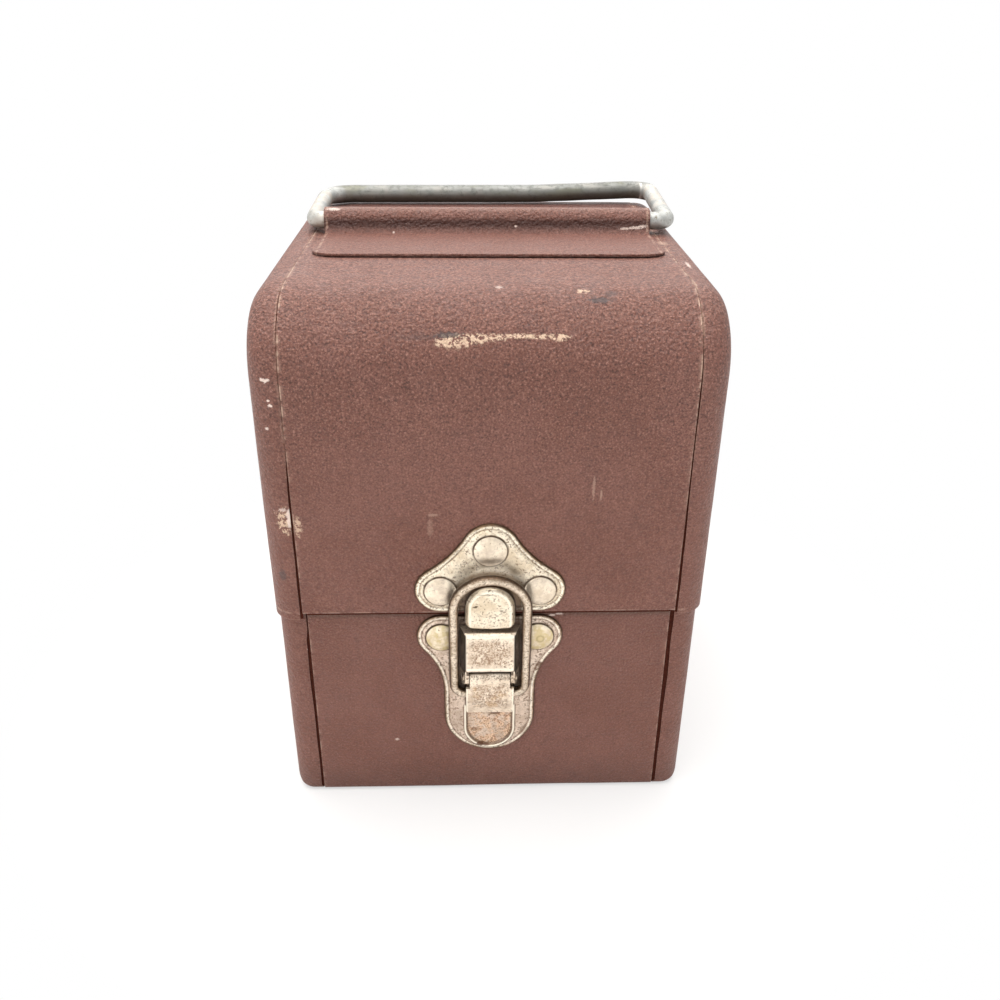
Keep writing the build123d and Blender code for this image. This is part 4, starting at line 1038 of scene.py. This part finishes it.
def ease(value, low, high):
    """0 at low and 1 at high, with a soft change between."""
    share = min(1.0, max(0.0, (value - low) / (high - low)))
    return share * share * (3 - 2 * share)


def lid_groove(side, z):
    """Width of the gap between the lid's wrap and its end cap: tight on top, open lower down."""
    if side == "left":
        return 0.08 + 0.72 * ease(z, 166, 140)
    return 0.08 + 0.27 * ease(z, 202, 188) + 0.45 * ease(z, 150, 120)


def base_groove(side, z):
    """The same for the base: it closes at the foot."""
    if side == "left":
        return 0.30 + 0.75 * ease(z, 84, 79) * ease(z, 1.2, 3.2)
    return 0.30 + 1.15 * ease(z, 1.2, 3.2)


def cap_rows(side, half, seam, edge_round, outline, middle, groove):
    """Rows over an end cap, from the flange under the wrap, round its edge, to its flat side."""
    sign = -1 if side == "left" else 1
    flat = half - edge_round
    rows = [
        [(sign * x, y, z) for y, z in outline(SHEET)]
        for x in [half - CAP_FLANGE] + spread(half - CAP_FLANGE + 2, seam, 2.5)
    ]
    for along, inset in GROOVE_SECTION:
        row = []
        for y, z in outline(inset):
            drift = 1.0 + 0.35 * noise.noise(Vector((sign, y, z)) / 17)
            row.append((sign * (seam + along + groove(side, z) * drift), y, z))
        rows.append(row)
    for angle in spread(0, 90, 7.5):
        turn = math.radians(angle)
        inset = CAP_STEP + edge_round * (1 - math.cos(turn))
        x = flat + edge_round * math.sin(turn)
        rows.append([(sign * x, y, z) for y, z in outline(inset)])
    rim = outline(CAP_STEP + edge_round)
    rings = 24
    for k in range(1, rings + 1):
        share = k / rings
        rows.append(
            [(sign * half, y + (middle[0] - y) * share, z + (middle[1] - z) * share) for y, z in rim]
        )
    return rows


def groove_rows(half, seam):
    """Where the groove's rows lie among the rows of a cap."""
    start = len(spread(half - CAP_FLANGE + 2, seam, 2.5))
    return range(start, start + 3)


shell(
    "lid_wrap_sheet",
    [[(x, y, z) for y, z in lid_outline(0, LID_EDGE)] for x in stations(LID_SEAM)],
    "lid", ["lid_wrap"], fibre_lid,
)
# The row of the base's wrap just under the lid's edge gets the painted shadow of that edge.
base_line = [z for y, z in base_outline(0)].index(BASE_LINE[0])
shell(
    "base_wrap_sheet",
    [[(x, y, z) for y, z in base_outline(0)] for x in stations(BASE_SEAM)],
    "base", ["base_wrap"], fibre_base, shaded=lambda row, column: column == base_line,
)
# The grooves along the caps' seams get painted shade; on the lid only lower down, where the seam shows
# dark.
lid_grooves = groove_rows(HALF_WIDTH, LID_SEAM)
base_grooves = groove_rows(BASE_HALF, BASE_SEAM)
for side in ("left", "right"):
    low = LID_EDGE - LID_CAP_DROPS[side]
    heights = [z for y, z in lid_outline(SHEET, low)]
    shell(
        f"lid_cap_{side}_shell",
        cap_rows(
            side, HALF_WIDTH, LID_SEAM, LID_EDGE_ROUND,
            lambda inset: lid_outline(inset, low), (0, low), lid_groove,
        ),
        "lid", [f"lid_cap_{side}"], fibre_lid,
        skip=lambda c: abs(c[0]) < LID_SEAM and c[2] < LID_EDGE,
        shaded=lambda row, column: row in lid_grooves and heights[column] < LID_SHADE_TOP[side],
        crisp=True,
    )
    shell(
        f"base_cap_{side}_shell",
        cap_rows(
            side, BASE_HALF, BASE_SEAM, BASE_EDGE_ROUND, base_outline, (0, COLLAR_TOP), base_groove
        ),
        "base", [f"base_cap_{side}"], fibre_base, shaded=lambda row, column: row in base_grooves,
        crisp=True,
    )


# Strip and bail


def strip_section():
    """Outside of the strip's section as (y, z): flange, fold over the rod, short rear flange."""
    flange_z = TOP + STRIP_SHEET
    round_edge = 0.35
    section = [(STRIP_FRONT, TOP)]
    section += arc((STRIP_FRONT + round_edge, flange_z - round_edge), round_edge, 180, 90, 30)
    section += [(y, flange_z) for y in spread(STRIP_FRONT + 0.8, ROD_Y - FOLD_REACH - 0.4, 3.5)]
    section += arc((ROD_Y - FOLD_REACH, flange_z + FOLD_FILLET), FOLD_FILLET, -90, 0, 15)
    section += arc((ROD_Y, ROD_Z), FOLD_OUTER, 180, 0, 7.5)
    section += arc((ROD_Y + FOLD_REACH, flange_z + FOLD_FILLET), FOLD_FILLET, 180, 270, 15)
    section += [(y, flange_z) for y in spread(ROD_Y + FOLD_REACH + 0.4, STRIP_BACK - 0.8, 3.5)]
    section += arc((STRIP_BACK - round_edge, flange_z - round_edge), round_edge, 90, 0, 30)
    return section + [(STRIP_BACK, TOP)]


def make_strip():
    full = strip_section()
    count = len(full)
    rows = []

    def add_row(x, section):
        row = []
        for y, z in section:
            ahead = min(1.0, max(0.0, (STRIP_FRONT + 11 - y) / 5))
            outward = max(0.0, (abs(x) - STRIP_HALF + 9) / 9)
            spread_out = STRIP_EAR * (3 * ahead**2 - 2 * ahead**3) * outward
            row.append((STRIP_X + x + math.copysign(spread_out, x), y, z))
        rows.append(row)

    def shortened(cut):
        """The section with both flanges cut back, its points kept in number."""
        front_y, back_y = STRIP_FRONT + cut, STRIP_BACK - min(cut, 5.0)
        before, behind = ROD_Y - FOLD_REACH, ROD_Y + FOLD_REACH
        front_scale = (front_y - before) / (STRIP_FRONT - before)
        back_scale = (back_y - behind) / (STRIP_BACK - behind)
        section = []
        for y, z in full:
            if y < before:
                y = before + (y - before) * front_scale
                z += STRIP_LIFT * max(0.0, 1 - (y - STRIP_FRONT) / 12) ** 2
            elif y > behind:
                y = behind + (y - behind) * back_scale
            section.append((y, z))
        return section

    across, along = STRIP_CORNER
    straight = spread(-STRIP_HALF + across, STRIP_HALF - across, 3.5)
    turns = [math.radians(a) for a in spread(90, 0, 6)]
    ends = [(across * (1 - math.sin(t)), along * (1 - math.cos(t))) for t in turns]
    fold_only = [(min(max(y, ROD_Y - FOLD_OUTER), ROD_Y + FOLD_OUTER), z) for y, z in full]
    add_row(-STRIP_HALF - STRIP_OVERHANG, fold_only)
    add_row(-STRIP_HALF, fold_only)
    for x, cut in ends:
        add_row(-STRIP_HALF + x, shortened(cut))
    for x in straight[1:-1]:
        add_row(x, shortened(0))
    for x, cut in ends[::-1]:
        add_row(STRIP_HALF - x, shortened(cut))
    add_row(STRIP_HALF, fold_only)
    add_row(STRIP_HALF + STRIP_OVERHANG, fold_only)
    points, faces = grid(rows, closed=True)
    bore_start = len(points)
    sides = 32
    for x in (rows[0][0][0], rows[-1][0][0]):
        for turn in full_turn(sides):
            y, z = ROD_Y + FOLD_BORE * math.cos(turn), ROD_Z + FOLD_BORE * math.sin(turn)
            points.append((x, y, z))
    for k in range(sides):
        a, b = bore_start + k, bore_start + (k + 1) % sides
        faces.append((a, b, b + sides, a + sides))
    last = (len(rows) - 1) * count
    rings = [
        (range(count), range(bore_start, bore_start + sides)),
        (range(last, last + count), range(bore_start + sides, bore_start + 2 * sides)),
    ]
    faces += fill_between(points, rings)
    piece = put("handle_strip_sheet", points, faces, "lid", "fibre", ["handle_strip"], [fibre_strip])
    bevel(piece, 0.2)
    settle(piece)


def fill_between(points, rings):
    """Triangles between an outer and an inner ring of points in one plane."""
    faces = []
    for outer, inner in rings:
        form = bmesh.new()
        origin = {}
        for loop in (outer, inner):
            corners = []
            for index in loop:
                corner = form.verts.new(points[index])
                origin[corner] = index
                corners.append(corner)
            for k, corner in enumerate(corners):
                following = corners[(k + 1) % len(corners)]
                if (corner.co - following.co).length > 1e-6:
                    form.edges.new((corner, following))
        bmesh.ops.remove_doubles(form, verts=form.verts, dist=1e-5)
        bmesh.ops.triangle_fill(form, edges=form.edges, use_beauty=True)
        kept = {v: origin[v] for v in form.verts if v in origin}
        for face in form.faces:
            faces.append(tuple(kept[v] for v in face.verts))
        form.free()
    return faces


make_strip()

bail_corners = [
    (BAIL_X - BAIL_HALF, ROD_Y, ROD_Z), (BAIL_X + BAIL_HALF, ROD_Y, ROD_Z),
    BAIL_FAR_RIGHT, BAIL_FAR_MIDDLE, BAIL_FAR_LEFT,
]
BAIL_BENDS = [4.7, 4.7, 10.0, 150.0, 13.0]  # radii at those corners
bail_path = subdivide(round_corners(bail_corners, BAIL_BENDS, closed=True), 4.0, closed=True)


def bail_radius(place):
    """The far bar, where the hand holds it, is a little thicker; the change takes 4 mm."""
    share = min(1.0, max(0.0, (place.y - BAIL_FAR_LEFT[1] + 7) / 4))
    return ROD + (GRIP - ROD) * share


bail = put(
    "bail_rod", *grid(rod(bail_path, bail_radius, Vector((0, 0.05, 1)), closed=True), closed=True),
    "bail", "bail_steel", ["bail_handle"],
)
ripple(bail, [(14.0, 0.10), (4.0, 0.04)])
settle(bail)


# Plates of the latch


def waist(centre_a, radius_a, centre_b, radius_b, radius):
    """Centre of the hollow arc that joins two lobes on their right, with its start and end angles."""
    (ax, ay), (bx, by) = centre_a, centre_b
    gap = math.hypot(bx - ax, by - ay)
    reach_a, reach_b = radius_a + radius, radius_b + radius
    along = (reach_a**2 - reach_b**2 + gap**2) / (2 * gap)
    away = math.sqrt(reach_a**2 - along**2)
    ux, uy = (bx - ax) / gap, (by - ay) / gap
    cx, cy = ax + ux * along - uy * away, ay + uy * along + ux * away
    start = math.degrees(math.atan2(ay - cy, ax - cx)) % 360
    end = math.degrees(math.atan2(by - cy, bx - cx)) % 360
    return (cx, cy), start, end


def both_sides(right):
    """A closed outline from its right half, which starts and ends on the middle line."""
    return right + [(-x, z) for x, z in right[-2:0:-1]]


def even(outline, step):
    """The closed outline with its points evenly about step apart."""
    loop = outline + [outline[0]]
    lengths = [math.dist(a, b) for a, b in zip(loop, loop[1:])]
    total = sum(lengths)
    count = round(total / step)
    result, i, passed = [], 0, 0.0
    for k in range(count):
        target = total * k / count
        while passed + lengths[i] < target:
            passed += lengths[i]
            i += 1
        share = (target - passed) / lengths[i]
        (ax, az), (bx, bz) = loop[i], loop[i + 1]
        result.append((ax + (bx - ax) * share, az + (bz - az) * share))
    return result


def inward_normals(outline):
    area = sum(a[0] * b[1] - b[0] * a[1] for a, b in zip(outline, outline[1:] + outline[:1]))
    turn = 1 if area > 0 else -1
    normals = []
    for k in range(len(outline)):
        (ax, az), (bx, bz) = outline[k - 1], outline[(k + 1) % len(outline)]
        length = math.hypot(bx - ax, bz - az)
        normals.append((-turn * (bz - az) / length, turn * (bx - ax) / length))
    return normals


def moved_in(outline, distances):
    normals = inward_normals(outline)
    return [(x + nx * d, z + nz * d) for (x, z), (nx, nz), d in zip(outline, normals, distances)]


# Section of a pressed plate: distance in from its edge, and height
PLATE_SECTION = [
    (0.0, 0.0), (0.0, 0.42), (0.12, 0.72), (0.35, 0.98), (0.65, 1.14), (1.0, 1.20), (1.35, 1.15),
    (1.7, 1.02), (2.0, 0.93), (2.25, 0.95), (2.5, 1.12), (2.8, 1.30), (3.2, 1.38), (3.8, PLATE_RISE),
    (4.3, PLATE_RISE),
]
# Section of the recess's rim: distance out from the hole, height, and extra height lower down
RIM_SECTION = [
    (-1.4, RECESS_FLOOR, 0.0), (-0.7, RECESS_FLOOR, 0.0), (-0.3, 0.58, 0.0), (-0.05, 0.85, 0.0),
    (0.0, 1.15, 0.0), (0.05, 1.35, 0.18), (0.2, PLATE_RISE, 0.36), (0.45, PLATE_RISE, 0.46),
    (0.7, PLATE_RISE, 0.36), (0.95, PLATE_RISE, 0.12), (1.1, PLATE_RISE, 0.0), (1.2, PLATE_RISE, 0.0),
]


def strike_outline():
    top, lobe = (0, STRIKE_TOP_Z), (RIVET_X, STRIKE_RIVET_Z)
    centre, start, end = waist(top, STRIKE_TOP_RADIUS, lobe, LOBE, STRIKE_WAIST)
    right = arc(top, STRIKE_TOP_RADIUS, 90, start - 180, 3)
    right += arc(centre, STRIKE_WAIST, start, end, 1)[1:]
    right += arc(lobe, LOBE, end - 180, -90, 3)[1:]
    right.append((0, STRIKE_BOTTOM))
    return even(both_sides(right), PLATE_STEP)


def latch_outline():
    lobe = (RIVET_X, LATCH_RIVET_Z)
    waist_x = LATCH_TOE + LATCH_WAIST
    waist_z = LATCH_RIVET_Z - math.sqrt((LATCH_WAIST + LOBE) ** 2 - (waist_x - RIVET_X) ** 2)
    turn = math.degrees(math.atan2(waist_z - LATCH_RIVET_Z, waist_x - RIVET_X))
    right = [(0, LATCH_TOP)] + arc(lobe, LOBE, 90, turn, 3)
    right += arc((waist_x, waist_z), LATCH_WAIST, turn + 180, 180, 2)[1:]
    right += arc((0, LATCH_BOTTOM + LATCH_TOE), LATCH_TOE, 0, -90, 3)
    return even(both_sides(right), PLATE_STEP)


def recess_outline():
    toe = (0, RECESS_BOTTOM + RECESS_HALF)
    right = [(0, RECESS_TOP)] + arc((RECESS_HALF - 1.5, RECESS_TOP - 1.5), 1.5, 90, 0, 15)
    right += arc(toe, RECESS_HALF, 0, -90, 3)
    return even(both_sides(right), 0.7)


def plate(outline, seat, hole=None):
    """A pressed plate on the plane y = seat, with a rolled border and perhaps a rimmed recess."""
    scales = [1.0] * len(outline)
    if hole:
        room = PLATE_SECTION[-1][0]
        for i, point in enumerate(outline):
            gap = min(math.dist(point, other) for other in hole)
            scales[i] = min(1.0, max(0.2, (gap - RIM_SECTION[-1][0] - 0.08) / room))
    rows = []
    for inset, height in PLATE_SECTION:
        ring = moved_in(outline, [inset * s for s in scales])
        rows.append([(x, seat - height, z) for x, z in ring])
    points, faces = grid(rows, closed=True)
    width = len(outline)
    faces.append(tuple(range(width)))
    last = [len(points) - width + k for k in range(width)]
    if not hole:
        faces.append(tuple(last))
        return points, faces
    start = len(points)
    rim_rows = []
    for out, height, extra in RIM_SECTION:
        ring = moved_in(hole, [-out] * len(hole))
        rim_rows.append(
            [
                (x, seat - height - extra * min(1.0, max(0.0, (RIM_TOP - hz) / 2.5)), z)
                for (x, z), (_, hz) in zip(ring, hole)
            ]
        )
    rim_points, rim_faces = grid(rim_rows, closed=True)
    points += rim_points
    faces += [tuple(start + i for i in face) for face in rim_faces]
    faces.append(tuple(start + k for k in range(len(hole))))
    outer_rim = [len(points) - len(hole) + k for k in range(len(hole))]
    faces += fill_between(points, [(last, outer_rim)])
    return points, faces


def nose(seat):
    """The pressed nose: a D with a drafted side, a rounded edge and a slightly domed face."""
    crown = (0, NOSE_TOP - NOSE_CROWN)
    foot = (NOSE_HALF - NOSE_CORNER, NOSE_BOTTOM + NOSE_CORNER)
    right = arc(crown, NOSE_CROWN, 90, 0, 5) + arc(foot, NOSE_CORNER, 0, -80, 8)
    right.append((0, NOSE_BOTTOM - 0.35))
    outline = even(both_sides(right), 0.6)
    draft = math.tan(math.radians(10))
    rows = []
    for height in (0.9, 2.0, 3.2):
        rows.append((-(NOSE_PROUD - height) * draft, height))
    for angle in spread(0, 90, 11.25):
        turn = math.radians(angle)
        rise = NOSE_PROUD - NOSE_EDGE + NOSE_EDGE * math.sin(turn)
        rows.append((NOSE_EDGE * (1 - math.cos(turn)), rise))
    result = []
    for inset, height in rows:
        result.append([(x, seat - height, z) for x, z in moved_in(outline, [inset] * len(outline))])
    rim = moved_in(outline, [NOSE_EDGE] * len(outline))
    middle = (NOSE_BOTTOM + NOSE_TOP) / 2
    for share in (0.04, 0.15, 0.3, 0.5, 0.75, 1.0):
        dome = NOSE_PROUD + 0.22 * (1 - (1 - share) ** 2)
        result.append([(x - x * share, seat - dome, z + (middle - z) * share) for x, z in rim])
    return grid(result, closed=True)


def mark_inset(piece, outline):
    """Store how far in from the plate's outline each point lies, for the border's dirt and wear."""
    edge = even(outline, 0.1)
    tree = KDTree(len(edge))
    for i, (x, z) in enumerate(edge):
        tree.insert((x, 0, z), i)
    tree.balance()
    values = piece.data.attributes.new("inset", "FLOAT", "POINT").data
    for vertex, value in zip(piece.data.vertices, values):
        place = vertex.co / MM
        value.value = tree.find((place.x, 0, place.z))[2]


def merge(*parts):
    points, faces = [], []
    for more_points, more_faces in parts:
        start = len(points)
        points += more_points
        faces += [tuple(start + i for i in face) for face in more_faces]
    return points, faces


strike = put(
    "strike_plate_pressing", *merge(plate(strike_outline(), FRONT), nose(FRONT)),
    "lid", "latch_steel", ["strike_plate"], [strike_metal],
)
ripple(strike, [(9.0, 0.07)])
settle(strike, 50)
mark_inset(strike, strike_outline())
latch = put(
    "latch_plate_pressing", *plate(latch_outline(), BASE_FRONT, recess_outline()),
    "base", "latch_steel", ["latch_plate"], [plate_metal],
)
ripple(latch, [(9.0, 0.05)])
settle(latch, 50)
mark_inset(latch, latch_outline())


# Rivets: a crisp edge with a fine undercut, a gentle dome, and the tail inside the case


def rivet_rows(x, z, seat, radius, grip):
    head = [
        (0.0, 1.42), (radius * 0.3, 1.36), (radius * 0.6, 1.16), (radius * 0.82, 0.88),
        (radius - 0.45, 0.70), (radius - 0.18, 0.60), (radius - 0.03, 0.44), (radius, 0.30),
        (radius - 0.08, 0.14), (radius - 0.35, 0.0),
    ]
    end = -grip - 0.5
    tail = [(2.5, 0.0), (2.5, -grip), (3.5, -grip), (3.3, -grip - 0.3), (2.5, end), (0.0, end)]
    return [
        [
            (x + reach * math.cos(turn), seat - height, z + reach * math.sin(turn))
            for turn in full_turn(48)
        ]
        for reach, height in head + tail
    ]


def rivets(name, body, node, seat, places):
    grip = PLATE_RISE + SHEET + RIVET_WASHER
    parts = [grid(rivet_rows(x, z, seat, radius, grip), closed=True) for x, z, radius in places]
    piece = put(name, *merge(*parts), body, "rivet_steel", [node])
    ripple(piece, [(3.5, 0.10)])
    settle(piece, 45)


rivets("strike_rivet_heads", "lid", "strike_rivets", FRONT - PLATE_RISE, STRIKE_RIVETS)
rivets("latch_rivet_heads", "base", "latch_plate_rivets", BASE_FRONT - PLATE_RISE, LATCH_RIVETS)


# Loop

foot_y, foot_z = LOOP_FOOT
crown_y, crown_z = LOOP_CROWN
rise = Vector((0, crown_y - foot_y, crown_z - foot_z))
loop_length = rise.length
loop_up = rise.normalized()


def on_loop(x, up):
    return Vector((x, foot_y, foot_z)) + loop_up * up


arch_start = loop_length - LOOP_HALF
loop_path = round_corners(
    [on_loop(LOOP_TAIL_X, 0), on_loop(LOOP_HALF, 0), on_loop(LOOP_HALF, arch_start)],
    [0, LOOP_CORNER, 0],
)
for x, up in arc((0, arch_start), LOOP_HALF, 0, 90, 4.5)[1:]:
    loop_path.append(on_loop(x, up))
loop_path += [Vector((-p.x, p.y, p.z)) for p in loop_path[-2::-1]]
loop_rows = rod(subdivide(loop_path, 3.0), WIRE, Vector((0, 1, 0.11)), nose=0.3)
loop = put(
    "latch_loop_wire", *grid(loop_rows, closed=True), "loop", "wire_steel", ["latch_loop"]
)
ripple(loop, [(6.0, 0.05)])
settle(loop)


# The CAD's own pieces, with softened edges: material slot and width of the edge

KEPT = {
    "lever_bracket": ("latch_steel", 0.3),
    "latch_lever": ("latch_steel", 0.25),
    "lever_pin": ("wire_steel", 0.1),
    "strike_burrs": ("rivet_steel", 0.15),
    "latch_plate_burrs": ("rivet_steel", 0.15),
}
for entry in frame["record"]["subparts"]:
    if entry["node"].startswith("hinge_"):
        KEPT[entry["node"]] = (entry["material_slot"], 0.15)
for node, (slot_name, edge) in KEPT.items():
    kept = frame["nodes"][node]
    kept.data.materials.clear()
    kept.data.materials.append(FINISH[slot_name])
    bevel(kept, edge)


# Stage

SKY = 0.5  # strength of the light from all round
LAMPS = [  # name, place and size in m, power, colour
    ("overhead", (-0.15, 0.05, 1.5), (1.6, 1.6), 34.0, (1.0, 0.97, 0.94)),
    ("front", (-0.7, -1.5, 0.7), (0.9, 0.9), 4.4, (1.0, 0.98, 0.96)),
    ("back", (0.1, 1.5, 1.25), (1.6, 1.2), 9.0, (1.0, 0.98, 0.95)),
]
LAMPS_AIM = (0, 0, 0.1)


def make_floor():
    """A white sheet under the case; seen far from the case it is plain white."""
    rows = [
        [(reach * math.cos(turn), reach * math.sin(turn), 0) for turn in full_turn(96)]
        for reach in (0, 200, 600, 1500, 3000)
    ]
    mesh = new_mesh("floor", *grid(rows, closed=True))
    form = bmesh.new()
    form.from_mesh(mesh)
    bmesh.ops.remove_doubles(form, verts=form.verts, dist=1e-6)
    bmesh.ops.recalc_face_normals(form, faces=form.faces)
    form.to_mesh(mesh)
    form.free()
    floor = link("floor", mesh)
    g = Graph("floor")
    mottle = g.span(g.noise(300, 2.0), 0.3, 0.7, 0.93, 0.95)
    color = g.field(0, "ShaderNodeCombineColor", {0: mottle, 1: mottle, 2: mottle})
    inputs = {
        "Base Color": color, "Roughness": 0.9, "Specular IOR Level": 0.1,
        "Normal": g.bump(g.noise(2.0), 0.01),
    }
    near = g.node("ShaderNodeBsdfPrincipled", inputs)
    far = g.node("ShaderNodeEmission", {"Color": (1, 1, 1, 1), "Strength": 1.0})
    path = g.node("ShaderNodeLightPath")
    distance = g.span(g.vector("LENGTH", g.vector("MULTIPLY", g.place, (1, 1, 0))), 130, 230)
    distance = g.span(distance, 0.0, 1.0, 0.55, 1.0, smooth=False)
    seen = g.math("MULTIPLY", path.outputs["Is Camera Ray"], distance)
    g.show(g.node("ShaderNodeMixShader", {0: seen, 1: near.outputs[0], 2: far.outputs[0]}))
    mesh.materials.append(g.material)


def make_lamp(name, place, size, power, color):
    data = bpy.data.lights.new(name, "AREA")
    data.shape = "RECTANGLE"
    data.size, data.size_y = size
    data.energy = power
    data.color = color
    lamp = link(name, data)
    lamp.location = place
    aim = Vector(LAMPS_AIM) - Vector(place)
    lamp.rotation_euler = aim.to_track_quat("-Z", "Y").to_euler()


def make_world():
    """Even light on the case, and plain white behind it and in its reflections."""
    world = bpy.data.worlds.new("world")
    bpy.context.scene.world = world
    world.use_nodes = True
    tree = world.node_tree
    tree.nodes.clear()
    path = tree.nodes.new("ShaderNodeLightPath")
    light = tree.nodes.new("ShaderNodeBackground")
    light.inputs["Color"].default_value = (1.0, 0.985, 0.97, 1)
    light.inputs["Strength"].default_value = SKY
    backdrop = tree.nodes.new("ShaderNodeBackground")
    backdrop.inputs["Color"].default_value = (1, 1, 1, 1)
    backdrop.inputs["Strength"].default_value = 1.0
    seen = path.outputs["Is Camera Ray"]
    for ray in ("Is Glossy Ray", "Is Transmission Ray"):
        either = tree.nodes.new("ShaderNodeMath")
        either.operation = "MAXIMUM"
        tree.links.new(seen, either.inputs[0])
        tree.links.new(path.outputs[ray], either.inputs[1])
        seen = either.outputs[0]
    choose = tree.nodes.new("ShaderNodeMixShader")
    output = tree.nodes.new("ShaderNodeOutputWorld")
    tree.links.new(seen, choose.inputs[0])
    tree.links.new(light.outputs[0], choose.inputs[1])
    tree.links.new(backdrop.outputs[0], choose.inputs[2])
    tree.links.new(choose.outputs[0], output.inputs["Surface"])


make_camera()
make_world()
make_floor()
for lamp in LAMPS:
    make_lamp(*lamp)
bpy.context.scene.view_settings.view_transform = "Standard"

bpy.context.view_layer.update()
